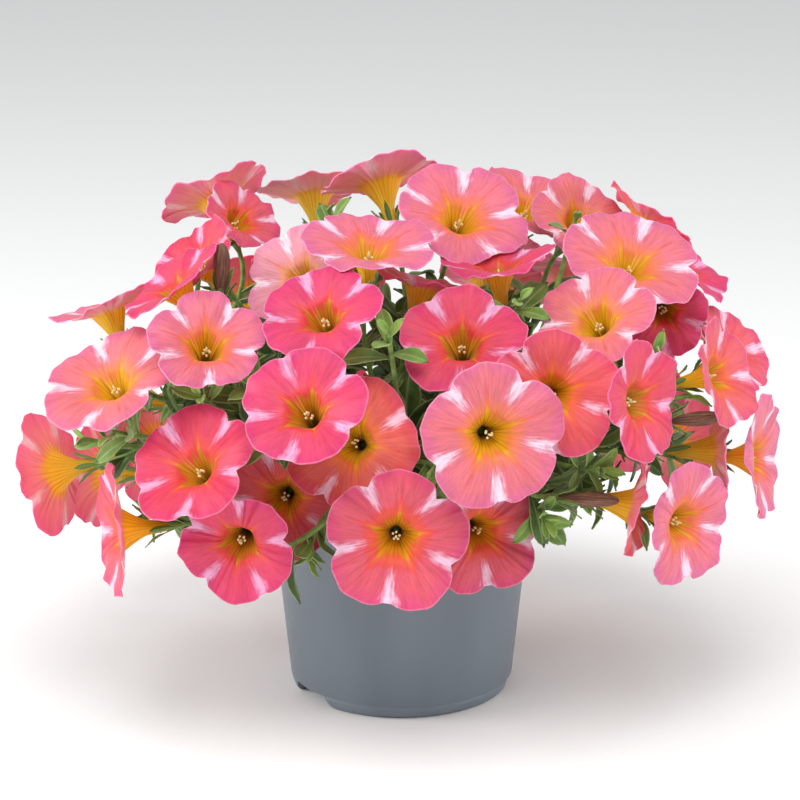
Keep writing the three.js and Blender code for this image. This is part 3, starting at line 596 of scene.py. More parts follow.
def bloom_grid(flower, seed):
    """The rows of points of a bloom's face, from the foot of its tube to its edge, about its own axis."""
    radius = flower["width"] / 2
    eye = radius * EYE_SHARE
    a = np.arange(PETAL_STEPS) / PETAL_STEPS * 2 * math.pi
    to_notch = np.abs(np.cos(LOBES * a / 2))
    over_lobe = 1 - to_notch**2
    lobe = np.floor(a / (2 * math.pi) * LOBES + 1e-6).astype(int)
    notch = np.rint(a / (2 * math.pi) * LOBES).astype(int) % LOBES

    def drawn(first, places):
        return np.array([seeded(seed, first + k) for k in range(LOBES)])[places]

    # the edge in plan: scallops, slits, unlike lobes, each with a faint point, and small teeth
    slit = between(SLIT, drawn(60, notch))
    point = np.exp(-((1 - np.abs(np.sin(LOBES * a / 2))) ** 2) / LOBE_POINT_WIDTH)
    reach = 1 - SCALLOP * to_notch**5 - slit * to_notch**40 + LOBE_POINT * point
    reach *= 1 + (drawn(0, lobe) - 0.5) * LOBE_VARIES * (1 - to_notch**4)
    reach += EDGE_TEETH * np.sin(19 * a + 2 * seed) * over_lobe
    # its height: slow waves, ruffles, and lobes that bend back or lean in
    rise = EDGE_WAVE * (0.7 * np.sin(3 * a + seed) + 0.6 * np.sin(2 * a + 2.1 * seed))
    rise -= NOTCH_DIP * to_notch**2
    ruffle = RUFFLE * (np.sin(10 * a + 3 * seed) + 0.7 * np.sin(17 * a + 5 * seed)) * (1 - to_notch**4)
    bend = (drawn(20, lobe) - 0.25) * LOBE_BEND * over_lobe
    skew = (drawn(40, lobe) - 0.5) * LOBE_SKEW * np.sin(LOBES * a) * over_lobe
    rows = []
    for depth in TUBE_DEPTHS:
        if depth >= FUNNEL_DEPTH:
            share = (depth - FUNNEL_DEPTH) / (TUBE_DEPTH - FUNNEL_DEPTH)
            r = between((FUNNEL_RADIUS, TUBE_RADIUS), share)
        else:
            share = (FUNNEL_DEPTH - depth) / (FUNNEL_DEPTH - EYE_DEPTH)
            r = between((FUNNEL_RADIUS, eye), share**1.25)
        r = r * (1 + TUBE_FLUTE * (0.5 - to_notch))
        rows.append(np.stack((r * np.cos(a), r * np.sin(a), np.full_like(a, -depth)), axis=1))
    for share in LIMB_SHARES:
        out = (share - EYE_SHARE) / (1 - EYE_SHARE)
        r = radius * share * (1 + (reach - 1) * out**1.5)
        z = -EYE_DEPTH * (1 - out) ** 1.3 + rise * out**1.2 + ruffle * out**2.5 - (bend + skew) * out**3
        z += LOBE_CROWN * (over_lobe - 0.5) * math.sin(math.pi * min(1, out * 1.1))
        z -= LOBE_CREASE * point * (1 - 0.5 * out)
        rows.append(np.stack((r * np.cos(a), r * np.sin(a), z), axis=1))
    return moved(np.array(rows), flower["frame"] @ Matrix.Rotation(flower["turn"], 4, "Z"))


# Petals are thin and satiny: cells filled with sap scatter light under a surface of fine bumps. The funnel is
# yellow with brown veins, and its yellow runs out in a star. Brushed lilac-white streaks follow the joins
# between the lobes.
FACE_PALETTE = {  # yellow, orange, body, margin, streak
    "coral": ("#dca008", "#e66c3a", "#db5858", "#d2426a", "#eecade"),
    "crimson": ("#cc8c10", "#de4e3a", "#d63e54", "#cc3062", "#e4a8ca"),
    "pink": ("#e4a808", "#e88048", "#de7078", "#d4628e", "#f0d8e8"),
    "pale": ("#eaba40", "#eca878", "#e4989c", "#de84a2", "#f6e6ee"),
}
# The undersides are paler than the faces, and their colours are brightened further as painted light, for the
# light that comes through petals in shade.
BACK_PALETTE = {  # tube, body, margin
    "coral": ("#fcba14", "#fc9290", "#f6709c"),
    "crimson": ("#f8b01a", "#f66a80", "#f05896"),
    "pink": ("#fcc020", "#fcaca8", "#f88cb8"),
    "pale": ("#fccc38", "#fec4c0", "#faacca"),
}


def petal_places(tree, around, along):
    """What a petal's skin reads: u once round the bloom from its first notch, v from 0 at the tube's foot to
    1 at the edge, the bloom's own draw, 0 at a notch to 1 in the middle of a lobe, and noises of fibres and
    of blots."""
    uv = add_node(tree, "SeparateXYZ", (add_node(tree, "UVMap", uv_map="place"),))
    u, v = uv.outputs[0], uv.outputs[1]
    draw = add_node(tree, "Attribute", attribute_name="draw").outputs["Fac"]
    spot = add_node(tree, "CombineXYZ", (u, v, draw))
    fold = add_node(tree, "Math", (u, 0.5 / LOBES), operation="PINGPONG")
    middle = add_node(tree, "Math", (fold, 2.0 * LOBES), operation="MULTIPLY")
    fine = add_node(tree, "Mapping", {"Vector": spot, "Scale": (around, along, 60.0)})
    fibre = add_node(tree, "TexNoise", {"Vector": fine, "Scale": 1.0, "Detail": 4.0})
    broad = add_node(tree, "Mapping", {"Vector": spot, "Scale": (16.0, 5.0, 90.0)})
    blot = add_node(tree, "TexNoise", {"Vector": broad, "Scale": 1.0, "Detail": 3.0})
    return u, v, draw, middle, fibre, blot


def eye_reach(tree, out, fibre, blot):
    """How far out a point counts for the colours of the eye: its place along the petal, made ragged."""
    rough = add_node(tree, "Math", (fibre, 0.16, out), operation="MULTIPLY_ADD")
    reach = add_node(tree, "Math", (blot, 0.14, rough), operation="MULTIPLY_ADD")
    return reach, add_node(tree, "Math", (reach, 0.8), operation="MULTIPLY")


def streaked(tree, v, middle, fibre, blot, under, streak, strength):
    """Lays the pale streaks over a colour: ragged brush marks along each notch, feathered inwards."""
    ragged = add_node(tree, "Math", (fibre, -0.30, middle), operation="MULTIPLY_ADD")
    uneven = add_node(tree, "Math", (blot, -0.34, ragged), operation="MULTIPLY_ADD")
    band = add_node(tree, "MapRange", (uneven, -0.30, -0.04, 1.0, 0.0), interpolation_type="SMOOTHSTEP")
    brushed = add_node(tree, "Math", (fibre, 0.5, v), operation="MULTIPLY_ADD")
    start = add_node(tree, "MapRange", (brushed, 0.66, 0.98, 0.0, strength), interpolation_type="SMOOTHSTEP")
    pale = add_node(tree, "Math", (band, start), operation="MULTIPLY")
    return add_node(tree, "Mix", {0: pale, 6: under, 7: linear(streak)}, data_type="RGBA")


def off_funnel_vein(tree, u):
    """0 on each of the funnel's veins, 1 between them."""
    stripe = add_node(tree, "Math", (u, 0.5 / FUNNEL_VEINS), operation="PINGPONG")
    return add_node(tree, "Math", (stripe, 2.0 * FUNNEL_VEINS), operation="MULTIPLY")


def petal_face(name, yellow, orange, body, margin, streak):
    """The upper side of the petals and the inside of the funnel."""
    material, tree = new_material(name)
    u, v, draw, middle, fibre, blot = petal_places(tree, 130.0, 4.0)
    # the star: the eye's colours reach further out along the middle of a lobe
    line = add_node(tree, "Math", (middle, 5.0), operation="POWER")
    star = add_node(tree, "Math", (line, -0.10, v), operation="MULTIPLY_ADD")
    reach, scaled = eye_reach(tree, star, fibre, blot)
    brown = ((0.14, "#5c4614"), (0.23, "#9a7a16"))
    bright = ((0.28, yellow), (0.32, yellow), (0.37, orange), (0.53, body), (0.70, body), (0.94, margin))
    tint = add_node(tree, "ValToRGB", (scaled,), stops=brown + bright)
    # towards the notches the colour turns to that of the margin
    side = add_node(tree, "MapRange", (middle, 0.0, 0.6, 0.4, 0.0))
    outer = add_node(tree, "MapRange", (v, 0.4, 0.75, 0.0, 1.0))
    turning = add_node(tree, "Math", (side, outer), operation="MULTIPLY")
    sided = add_node(tree, "Mix", {0: turning, 6: tint, 7: linear(margin)}, data_type="RGBA")
    # one fine line down the middle of each lobe, orange near the eye and dark red further out
    width = add_node(tree, "MapRange", (v, 0.25, 0.95, 0.86, 0.97))
    midrib = add_node(tree, "MapRange", (middle, width, 1.0, 0.0, 1.0))
    reds = ((0.3, yellow), (0.5, "#f06a2c"), (0.7, "#c8283c"), (1.0, body))
    along = add_node(tree, "ValToRGB", (v,), stops=reds)
    fading = add_node(tree, "MapRange", (v, 0.3, 0.95, 0.85, 0.1))
    lined = add_node(tree, "Math", (midrib, fading), operation="MULTIPLY")
    ribbed = add_node(tree, "Mix", {0: lined, 6: sided, 7: along}, data_type="RGBA")
    brushed = streaked(tree, v, middle, fibre, blot, ribbed, streak, 0.9)
    # brown veins line the funnel and run out just past the eye
    vein = add_node(tree, "MapRange", (off_funnel_vein(tree, u), 0.05, 0.4, 0.5, 0.0))
    inside = add_node(tree, "MapRange", (reach, 0.34, 0.48, 1.0, 0.0))
    dark = add_node(tree, "Math", (vein, inside), operation="MULTIPLY")
    veined = add_node(tree, "Mix", {0: dark, 6: brushed, 7: linear("#5a3410")}, data_type="RGBA")
    # side veins leave the middle slantwise, and the thin edge is paler
    slant = add_node(tree, "Math", (middle, -0.45, v), operation="MULTIPLY_ADD")
    wavy = add_node(tree, "Math", (blot, 0.1, slant), operation="MULTIPLY_ADD")
    comb = add_node(tree, "Math", (wavy, 0.033), operation="PINGPONG")
    side_vein = add_node(tree, "MapRange", (comb, 0.0, 0.012, 0.94, 1.0))
    light = add_node(tree, "MapRange", (fibre, 0.3, 0.7, 0.85, 1.1))
    value = add_node(tree, "Math", (side_vein, light), operation="MULTIPLY")
    rim = add_node(tree, "MapRange", (v, 0.975, 1.0, 0.0, 0.4))
    rimmed = add_node(tree, "Mix", {0: rim, 6: veined, 7: linear("#fbb9c8")}, data_type="RGBA")
    # no two blooms have quite the same hue
    hue = add_node(tree, "MapRange", {"Value": draw, "To Min": 0.488, "To Max": 0.508})
    toned = add_node(tree, "HueSaturation", {"Hue": hue, "Value": value, "Color": rimmed})
    height = add_node(tree, "Math", (value, blot), operation="ADD")
    bump = add_node(tree, "Bump", {"Height": height, "Strength": 0.4, "Distance": 0.0008})
    surface = {"Base Color": toned, "Roughness": 0.5, "IOR": 1.42, "Normal": bump}
    surface |= {"Subsurface Weight": 0.1, "Subsurface Scale": 0.001}
    surface |= {"Sheen Weight": 0.05, "Sheen Roughness": 0.4}
    finish_material(tree, add_node(tree, "BsdfPrincipled", surface))
    return material


def petal_back(name, tube, body, margin):
    """The petals' underside and tube's outside, duller than the face, lit through by scattering and painted
    light.
    """
    material, tree = new_material(name)
    u, v, _, middle, fibre, blot = petal_places(tree, 90.0, 4.0)
    _, scaled = eye_reach(tree, v, fibre, blot)
    stops = ((0.13, "#9c9a3a"), (0.19, tube), (0.38, tube), (0.50, body), (0.92, margin))
    tint = add_node(tree, "ValToRGB", (scaled,), stops=stops)
    brushed = streaked(tree, v, middle, fibre, blot, tint, "#fbe9ee", 0.6)
    # the veins of the tube show through as fine brown stripes, which fade on the limb
    off_vein = off_funnel_vein(tree, u)
    thin = add_node(tree, "MapRange", (v, 0.2, 0.9, 0.5, 0.12))
    fading = add_node(tree, "MapRange", (v, 0.25, 0.7, 0.42, 0.1))
    vein = add_node(tree, "MapRange", (off_vein, 0.0, thin, fading, 0.0))
    veined = add_node(tree, "Mix", {0: vein, 6: brushed, 7: linear("#a0562c")}, data_type="RGBA")
    light = add_node(tree, "MapRange", (fibre, 0.3, 0.7, 0.92, 1.08))
    toned = add_node(tree, "HueSaturation", {"Value": light, "Color": veined})
    bump = add_node(tree, "Bump", {"Height": fibre, "Strength": 0.4, "Distance": 0.0006})
    surface = {"Base Color": toned, "Roughness": 0.6, "IOR": 1.42, "Normal": bump}
    surface |= {"Subsurface Weight": 0.6, "Subsurface Scale": 0.003}
    finish_material(tree, add_node(tree, "BsdfPrincipled", surface))
    return material


faces = {name: petal_face(f"{name}_petal_face", *palette) for name, palette in FACE_PALETTE.items()}
backs = {name: petal_back(f"{name}_petal_back", *palette) for name, palette in BACK_PALETTE.items()}

# Anthers are dry little sacks dusted with cream pollen.
anther_skin, tree = new_material("cream_pollen")
place = add_node(tree, "TexCoord").outputs["Object"]
dust = add_node(tree, "TexNoise", {"Vector": place, "Scale": 3000.0})
shade = add_node(tree, "ValToRGB", (dust,), stops=((0.3, "#d9c37a"), (0.7, "#f6ecc0")))
surface = {"Base Color": shade, "Roughness": 0.9}
finish_material(tree, add_node(tree, "BsdfPrincipled", surface))

# Each bloom's petals are one skin of two layers, with a ring of anthers and the stigma in its throat.
ANTHERS = 5
ANTHER_CIRCLE = 1.5
ANTHER_DEPTH = (9, 10.5)
ANTHER_SIZE = (0.65, 0.65, 1.0)
STIGMA_DEPTH = 8
STIGMA_SIZE = (0.6, 0.6, 2.5)
bloom_nodes = sorted({flower["node"] for flower in flowers})
for node in bloom_nodes:
    own = [(i, flower) for i, flower in enumerate(flowers) if flower["node"] == node]
    colours = list(dict.fromkeys(flower["colour"] for _, flower in own))
    head = bmesh.new()
    for i, flower in own:
        petals = shaped(bloom_blank, on_sheet(bloom_grid(flower, i + 1), bloom_places, PETAL, True))
        layer = np.empty(len(petals.polygons), dtype=np.int32)
        petals.polygons.foreach_get("material_index", layer)
        petals.polygons.foreach_set("material_index", layer + 2 * colours.index(flower["colour"]))
        draw = np.full(len(petals.vertices), seeded(i, 77))
        petals.attributes.new("draw", "FLOAT", "POINT").data.foreach_set("value", draw)
        head.from_mesh(petals)
        bpy.data.meshes.remove(petals)
        for k in range(ANTHERS + 1):  # the first is the stigma
            around = 2 * math.pi * (k + seeded(i, k)) / ANTHERS
            out = ANTHER_CIRCLE if k else 0
            depth = between(ANTHER_DEPTH, seeded(i, k + 9)) if k else STIGMA_DEPTH
            at = Matrix.Translation((out * math.cos(around), out * math.sin(around), -depth))
            size = Matrix.Diagonal((*(ANTHER_SIZE if k else STIGMA_SIZE), 1.0))
            spot = Matrix.Scale(MM, 4) @ flower["frame"] @ at @ size
            sack = bmesh.ops.create_icosphere(head, subdivisions=1, radius=1, matrix=spot)["verts"]
            for face in {face for v in sack for face in v.link_faces}:
                face.material_index = 2 * len(colours)
                face.smooth = True
    name = f"petals_{node:02d}"
    skins = [skin for colour in colours for skin in (faces[colour], backs[colour])]
    bloom = add_object(name, new_mesh(name, head), *skins, anther_skin)
    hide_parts(f"bloom_{node:02d}")
    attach(bloom, "root")


# The spent blooms: the corolla has gone limp and rolled up into a twisted, pleated, pointed bag, brown and
# dull purple. It still hangs on its calyx.
SPENT = (
    # Its tip in the picture, how far it stands behind the pot's axis, and where it points.
    (724, 417, -70, 70, 10),
    (619, 501, -104, 80, 0),
    (224, 243, -50, 20, 75),
    (395, 228, -14, 30, 60),
)
SPENT_ROLL = (  # depth under the tip and radius
    (29, 1.5), (27, 1.6), (24, 1.8), (21, 2.2), (18, 2.8), (15, 3.3), (12, 3.6), (9, 3.5), (6, 3.1), (4, 2.6),
    (2, 1.9), (0.5, 1.2), (0, 0.4),
)
SPENT_STEPS = 35
SPENT_PLEATS = 5
SPENT_PLEAT_DEPTH = 0.22  # as a share of the radius
SPENT_TWIST = 4.4  # radians from the foot to the tip
SPENT_BEND = 1.3
SPENT_FLATNESS = 0.85
spent_blank, spent_places = rolled(SPENT_STEPS, np.linspace(0, 1, len(SPENT_ROLL)), 1)

# Withered petal is papery, with its veins left standing.
withered, tree = new_material("withered_petal")
place = add_node(tree, "UVMap", uv_map="place")
fibres = add_node(tree, "Mapping", {"Vector": place, "Scale": (40.0, 4.0, 1.0)})
fibre = add_node(tree, "TexNoise", {"Vector": fibres, "Scale": 1.0, "Detail": 4.0})
browns = ((0.25, "#4a2c2a"), (0.5, "#7d5648"), (0.75, "#a98a66"))
shade = add_node(tree, "ValToRGB", (fibre,), stops=browns)
bump = add_node(tree, "Bump", {"Height": fibre, "Strength": 0.8, "Distance": 0.0006})
surface = {"Base Color": shade, "Roughness": 0.8, "Normal": bump}
finish_material(tree, add_node(tree, "BsdfPrincipled", surface))

spent_frames = []
for i, (u, v, y, azimuth, elevation) in enumerate(SPENT):
    spot = frame_at(place_at(u, v, y), azimuth, elevation)
    spent_frames.append(spot)
    a = np.arange(SPENT_STEPS) / SPENT_STEPS * 2 * math.pi
    rows = []
    for depth, r in SPENT_ROLL:
        limp = 1 - depth / SPENT_ROLL[0][0]
        pleated = r * (1 + SPENT_PLEAT_DEPTH * limp * np.cos(SPENT_PLEATS * a + SPENT_TWIST * limp + i))
        bend = SPENT_BEND * math.sin(2.2 * limp + i) * limp
        across = SPENT_FLATNESS * pleated * np.sin(a)
        rows.append(np.stack((pleated * np.cos(a) + bend, across, np.full_like(a, -depth)), axis=1))
    name = f"withered_{i + 1}"
    bag = shaped(spent_blank, on_tube(moved(np.array(rows), spot), spent_places))
    bag.name = name
    spent = add_object(name, bag, withered)
    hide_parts(f"spent_bloom_{i + 1}")
    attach(spent, "root")


# The leafy stems: nine main stems rise from the soil and arch out. Side stems leave them for each calyx and
# each leaf rosette. All the green of a stem is one growth, soft, sticky and finely haired. A side stem may
# take one of many ways to its end, and the way that the solid's took is found again by its corner points.
STEM_RING = 8
STEM_OUTER = ((21, 76), (21, 112), (44, 140), (88, 136))  # distance from the axis and height
STEM_MIDDLE = ((1, 76), (2, 110), (4, 140), (8, 172))
STEM_MIDDLE_AZIMUTH = 20
STEM_MIDDLE_REACH = 55  # within it the middle stem carries the side stems first
STEM_RADIUS = (2.3, 1.3)  # at its root and its tip
STEM_STEPS = 6
STALK_RADIUS = (1.35, 1.1)
STALK_STEPS = 3
STALK_SIDES = 3
STALK_LEAVE_AT = (0.95, 0.85, 0.75, 0.65, 0.55, 0.45, 0.35)
STALK_REACH = (0.4, 0.6, 0.25)
STALK_TILTS = (  # how far it tilts over at its end, and to which side, in degrees
    (0, 0), (42, 90), (42, 0), (42, 180), (42, 270), (64, 90), (64, 0), (64, 180), (64, 270), (84, 0),
    (84, 180), (84, 270), (84, 90),
)
STALK_DEPTH = 32.4  # where it meets the calyx, under the bloom's mouth
SHOOTS = (
    # A rosette's tip in the picture, how far it stands behind the pot's axis, and where it points.
    (112, 432, -100, -40, 20),
    (90, 440, -60, -70, 20),
    (388, 335, -112, -10, 50),
    (655, 352, -95, 30, 30),
    (545, 520, -104, 30, -10),
    (602, 470, -95, 50, 10),
    (308, 556, -92, -30, -30),
    (200, 395, -95, -20, 30),
    (250, 385, -95, -15, 40),
    (150, 515, -70, -60, -10),
    (575, 222, -10, 20, 60),
    (330, 215, -5, -10, 60),
    (520, 300, -75, 10, 40),
    (690, 395, -60, 60, 20),
    (440, 470, -110, 10, 0),
    (580, 500, -60, 50, -20),
)
SIDE = Vector((0.2, 0.3, 1))
SAME_PLACE = 0.03
TUBE_SIDES = 8
TUBE_ROWS = 15
tube_blank, tube_places = rolled(TUBE_SIDES, np.linspace(0, 1, TUBE_ROWS), 1)


class Curve:
    """A smooth curve through space from four points, the middle two of which it only leans towards."""

    def __init__(self, *points):
        self.points = points

    def at(self, t):
        a, b, c, d = self.points
        s = 1 - t
        return a * s**3 + b * (3 * s * s * t) + c * (3 * s * t * t) + d * t**3

    def along(self, t):
        return (self.at(min(t + 1e-4, 1)) - self.at(max(t - 1e-4, 0))).normalized()

    def length(self):
        places = [self.at(i / 60) for i in range(61)]
        return sum((b - a).length for a, b in zip(places, places[1:]))


def on_steps(curve, steps, share):
    """The point at a share of a curve that is drawn in straight steps."""
    i = min(int(share * steps), steps - 1)
    return curve.at(i / steps).lerp(curve.at((i + 1) / steps), share * steps - i)


def tube_rings(curve, steps, sides, radius):
    """Rings of points along a curve, tapering from the first radius of a pair to the second."""
    rings = []
    side = SIDE
    turns = [2 * math.pi * k / sides for k in range(sides)]
    for i in range(steps + 1):
        share = i / steps
        along = curve.along(share)
        side = (side - along * side.dot(along)).normalized()
        across = along.cross(side)
        centre = curve.at(share)
        out = between(radius, share)
        rings.append([centre + (side * math.cos(a) + across * math.sin(a)) * out for a in turns])
    return rings


stems = []
for i in range(STEM_RING + 1):
    azimuth = (i - 1) * 360 / STEM_RING if i else STEM_MIDDLE_AZIMUTH
    run = STEM_OUTER if i else STEM_MIDDLE
    curve = Curve(*(facing(azimuth, 0) * out + Vector((0, 0, z)) for out, z in run))
    node = f"stem_{i}" if i else "stem_middle"
    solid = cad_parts[node].data.vertices
    corners = KDTree(len(solid))
    for k, v in enumerate(solid):
        corners.insert(v.co / MM, k)
    corners.balance()
    stem = {"node": node, "azimuth": azimuth, "curve": curve, "corners": corners, "growth": bmesh.new()}
    stems.append(stem)


def is_corner(stem, point):
    """Whether the stem's solid has a corner at a point."""
    return stem["corners"].find(point)[2] < SAME_PLACE


def stems_for(end):
    """The main stems in the order of how well they lie for a side stem that ends at a place."""
    azimuth = math.degrees(math.atan2(end.x, -end.y))
    ring = sorted(stems[1:], key=lambda stem: abs((stem["azimuth"] - azimuth + 540) % 360 - 180))[:3]
    is_middle = math.hypot(end.x, end.y) < STEM_MIDDLE_REACH
    return [stems[0], *ring] if is_middle else [*ring, stems[0]]


def find_stalk(end, spot, turn):
    """The stem and the curve that the solid's side stem to this end follows."""
    count = len(STALK_LEAVE_AT)
    leave_at = [STALK_LEAVE_AT[(i + turn) % count] for i in range(count)]
    along = spot.col[2].to_3d()
    level = spot.col[0].to_3d()
    for tilt, start in STALK_TILTS:
        aside = Matrix.Rotation(math.radians(start), 3, along) @ level
        approach = along * math.cos(math.radians(tilt)) - aside * math.sin(math.radians(tilt))
        for stem in stems_for(end):
            for reach in STALK_REACH:
                for at in leave_at:
                    root = on_steps(stem["curve"], STEM_STEPS, at)
                    swing = (end - root).length * reach
                    leave = ((end - root).normalized() + stem["curve"].along(at)).normalized()
                    curve = Curve(root, root + leave * swing, end - approach * swing, end)
                    rings = tube_rings(curve, STALK_STEPS, STALK_SIDES, STALK_RADIUS)
                    if sum(is_corner(stem, point) for ring in rings[1:3] for point in ring) >= 3:
                        return stem, curve
    raise ValueError("a side stem of the solids isn't found again")


# The leaves and the calyces: leaves are soft blades, narrow at the foot and widest towards the blunt tip,
# with a sunk midrib and a slightly waved edge. They sit on the stems without a stalk. The calyx is a small
# cup with five narrow sepals, in which the bloom's tube stands.
LEAF_ROWS = 11
LEAF_COLUMNS = 7
LEAF_SPACING = 42
STALK_LEAVES_FROM = 0.3  # as a share of its length from the root
STEM_LEAVES_FROM = 0.4
LEAF_LENGTH = (14, 25)
LEAF_HALF_WIDTH = 0.178  # as a share of the length
LEAF_SPREAD = (45, 75)  # degrees off the stem
LEAF_FOOT = -0.9
LEAF_KEEL = 1.1
LEAF_ARCH = 0.07  # shares of the length too
LEAF_DROOP = 0.1
LEAF_THICKNESS = 0.4
LEAF_YOUTH = 0.25  # at most, where 1 is a tip's youngest green
BLADE_TOP = 0.32  # where a blade arches highest, as a share of its length
BLADE_TROUGH = 0.28
BLADE_WAVE = 0.4
BLADE_RIB = 0.22
GOLDEN_ANGLE = math.radians(137.5)
ROSETTE_LEAVES = 6
ROSETTE_DEPTH = 14
ROSETTE_LENGTH = (24, 11)
ROSETTE_SPREAD = (80, 22)
# The rosette leaves turn lime towards the tip, partly as young leaves do and partly as painted light shining
# through them.
ROSETTE_YOUTH_AND_LIGHT = (0.3, 0.9)
CUP_DEPTHS = (STALK_DEPTH + 0.3, 31.2, 28.5, 25.8)  # under the bloom's mouth
CUP_RADIUS = (STALK_RADIUS[1], 2.5)
SEPALS = 5
SEPAL_ROWS = 7
SEPAL_COLUMNS = 3
SEPAL_LENGTH = (11.475, 15.525)
SEPAL_HALF_WIDTH = 1.15
SEPAL_ARCH = 0.02
SEPAL_DROOP = 0.12
SEPAL_LEAN = 0.38
SEPAL_CIRCLE = 1.6
SEPAL_DEPTH = 28.5
SEPAL_THICKNESS = 0.35
SEPAL_YOUTH = 0.3


def flat_blank(rows, columns):
    """A flat sheet of two layers, with its places in attributes as on a rolled one."""
    shape = bmesh.new()
    turn, row, back = [shape.verts.layers.float.new(name) for name in PLACES]
    bmesh.ops.create_grid(shape, x_segments=rows - 1, y_segments=columns - 1, size=1)
    for v in shape.verts:
        v[row] = (v.co.x + 1) / 2
        v[turn] = (v.co.y + 1) / 2
    new = bmesh.ops.extrude_face_region(shape, geom=shape.faces[:], use_keep_orig=True)["geom"]
    for v in new:
        if isinstance(v, bmesh.types.BMVert):
            v[back] = 1
            v.co.z -= 0.1
    bmesh.ops.recalc_face_normals(shape, faces=shape.faces)
    return write_places(shape, np.linspace(0, 1, rows))


leaf_blank, leaf_places = flat_blank(LEAF_ROWS, LEAF_COLUMNS)
sepal_blank, sepal_places = flat_blank(SEPAL_ROWS, SEPAL_COLUMNS)


def blade_grid(rows, columns, length, half_width, seed, arch, droop):
    """The rows of points of a blade's upper face, which looks towards Z: its foot at the origin, along X."""
    r = np.linspace(0, 1, rows)[:, None]
    c = np.linspace(-1, 1, columns)[None, :]
    half = half_width * np.sin(math.pi * np.minimum(r**1.45, 1)) ** 0.8
    half = np.maximum(half, 0.35 * (1 - r) + 0.03)
    x = LEAF_FOOT + (length - LEAF_FOOT) * (r - 0.03 * c**2 * (r > 0.9))
    # a parabola from the foot through the arch near it to the drooping tip
    bow = ((arch - droop) - arch / BLADE_TOP) / (1 - BLADE_TOP)
    z = length * ((arch - droop - bow) * r + bow * r**2) + BLADE_TROUGH * half * np.abs(c)
    z = z + BLADE_WAVE * np.sin(9 * r + 5 * seed) * c**2 * np.minimum(r * 3, 1)
    z = z - BLADE_RIB * (np.abs(c) < 0.1)
    return np.stack((x, half * c, z), axis=2)


def add_mesh(shape, mesh, youth_and_light, material_index):
    """Adds a mesh to a growth, with its youth and painted light in an attribute, all in one material, and
    removes it.
    """
    youths = np.full(len(mesh.vertices), youth_and_light)
    mesh.attributes.new("youth_and_light", "FLOAT", "POINT").data.foreach_set("value", youths)
    indices = np.full(len(mesh.polygons), material_index, dtype=np.int32)
    mesh.polygons.foreach_set("material_index", indices)
    shape.from_mesh(mesh)
    bpy.data.meshes.remove(mesh)


def add_tube(stem, curve, radius):
    """Adds a fine tube along a curve to its stem's growth."""
    rings = np.array(tube_rings(curve, TUBE_ROWS - 1, TUBE_SIDES, radius))
    add_mesh(stem["growth"], shaped(tube_blank, on_tube(rings, tube_places)), 0, 0)


def leaf_frame(foot, along, turn, spread):
    """The frame of a leaf that stands off a stem's direction by its spread, turned round it."""
    side = (SIDE - along * SIDE.dot(along)).normalized()
    across = along.cross(side)
    x = along * math.cos(spread) + (side * math.cos(turn) + across * math.sin(turn)) * math.sin(spread)
    z = (along - x * along.dot(x)).normalized()
    return framed(x, z, foot)


def add_leaf(stem, spot, length, seed, youth_and_light):
    """Adds one leaf to its stem's growth."""
    half_width = LEAF_HALF_WIDTH * length
    grid = blade_grid(LEAF_ROWS, LEAF_COLUMNS, length, half_width, seed, LEAF_ARCH, LEAF_DROOP)
    points = on_sheet(moved(grid, spot), leaf_places, LEAF_THICKNESS, False)
    add_mesh(stem["growth"], shaped(leaf_blank, points), youth_and_light, 1)


def grow_leaf(stem, curve, steps, share, turn, spread, length, seed, youth_and_light):
    """Adds the leaf if the solid's stem has it."""
    along = curve.along(share)
    spot = leaf_frame(on_steps(curve, steps, share), along, turn, spread)
    tip = spot @ Vector((length, 0, length * (LEAF_ARCH - LEAF_DROOP) - LEAF_KEEL / 2))
    if is_corner(stem, tip):
        spot.translation = curve.at(share)
        add_leaf(stem, spot, length, seed, youth_and_light)


def leaves_along(stem, curve, steps, seed, start):
    """Leaves stand along a curve in a spiral, each turned on from the last by the golden angle."""
    count = int(curve.length() * (1 - start) / LEAF_SPACING)
    for i in range(count):
        share = between((start, 1), (i + 0.5) / count)
        length = between(LEAF_LENGTH, seeded(seed, i))
        spread = math.radians(between(LEAF_SPREAD, seeded(seed, i + 40)))
        turn = i * GOLDEN_ANGLE + seed
        youth_and_light = LEAF_YOUTH * seeded(seed, i + 60)
        grow_leaf(stem, curve, steps, share, turn, spread, length, seed + i, youth_and_light)


def add_calyx(stem, curve, spot):
    """Adds the cup and its sepals, the first of which stands over the first corner of the stalk's end."""
    cup = Curve(*(spot @ Vector((0, 0, -depth)) for depth in CUP_DEPTHS))
    add_tube(stem, cup, CUP_RADIUS)
    first = spot.inverted() @ tube_rings(curve, STALK_STEPS, STALK_SIDES, STALK_RADIUS)[-1][0]
    start = math.atan2(first.y, first.x)
    for k in range(SEPALS):
        a = start + 2 * math.pi * k / SEPALS
        out = Vector((math.cos(a), math.sin(a), 0))
        x = (out * SEPAL_LEAN + Vector((0, 0, 1))).normalized()
        z = (x * out.dot(x) - out).normalized()
        local = framed(x, z, out * SEPAL_CIRCLE + Vector((0, 0, -SEPAL_DEPTH)))
        length = between(SEPAL_LENGTH, seeded(k, a))
        grid = blade_grid(SEPAL_ROWS, SEPAL_COLUMNS, length, SEPAL_HALF_WIDTH, k, SEPAL_ARCH, SEPAL_DROOP)
        points = on_sheet(moved(grid, spot @ local), sepal_places, SEPAL_THICKNESS, False)
        add_mesh(stem["growth"], shaped(sepal_blank, points), SEPAL_YOUTH, 1)


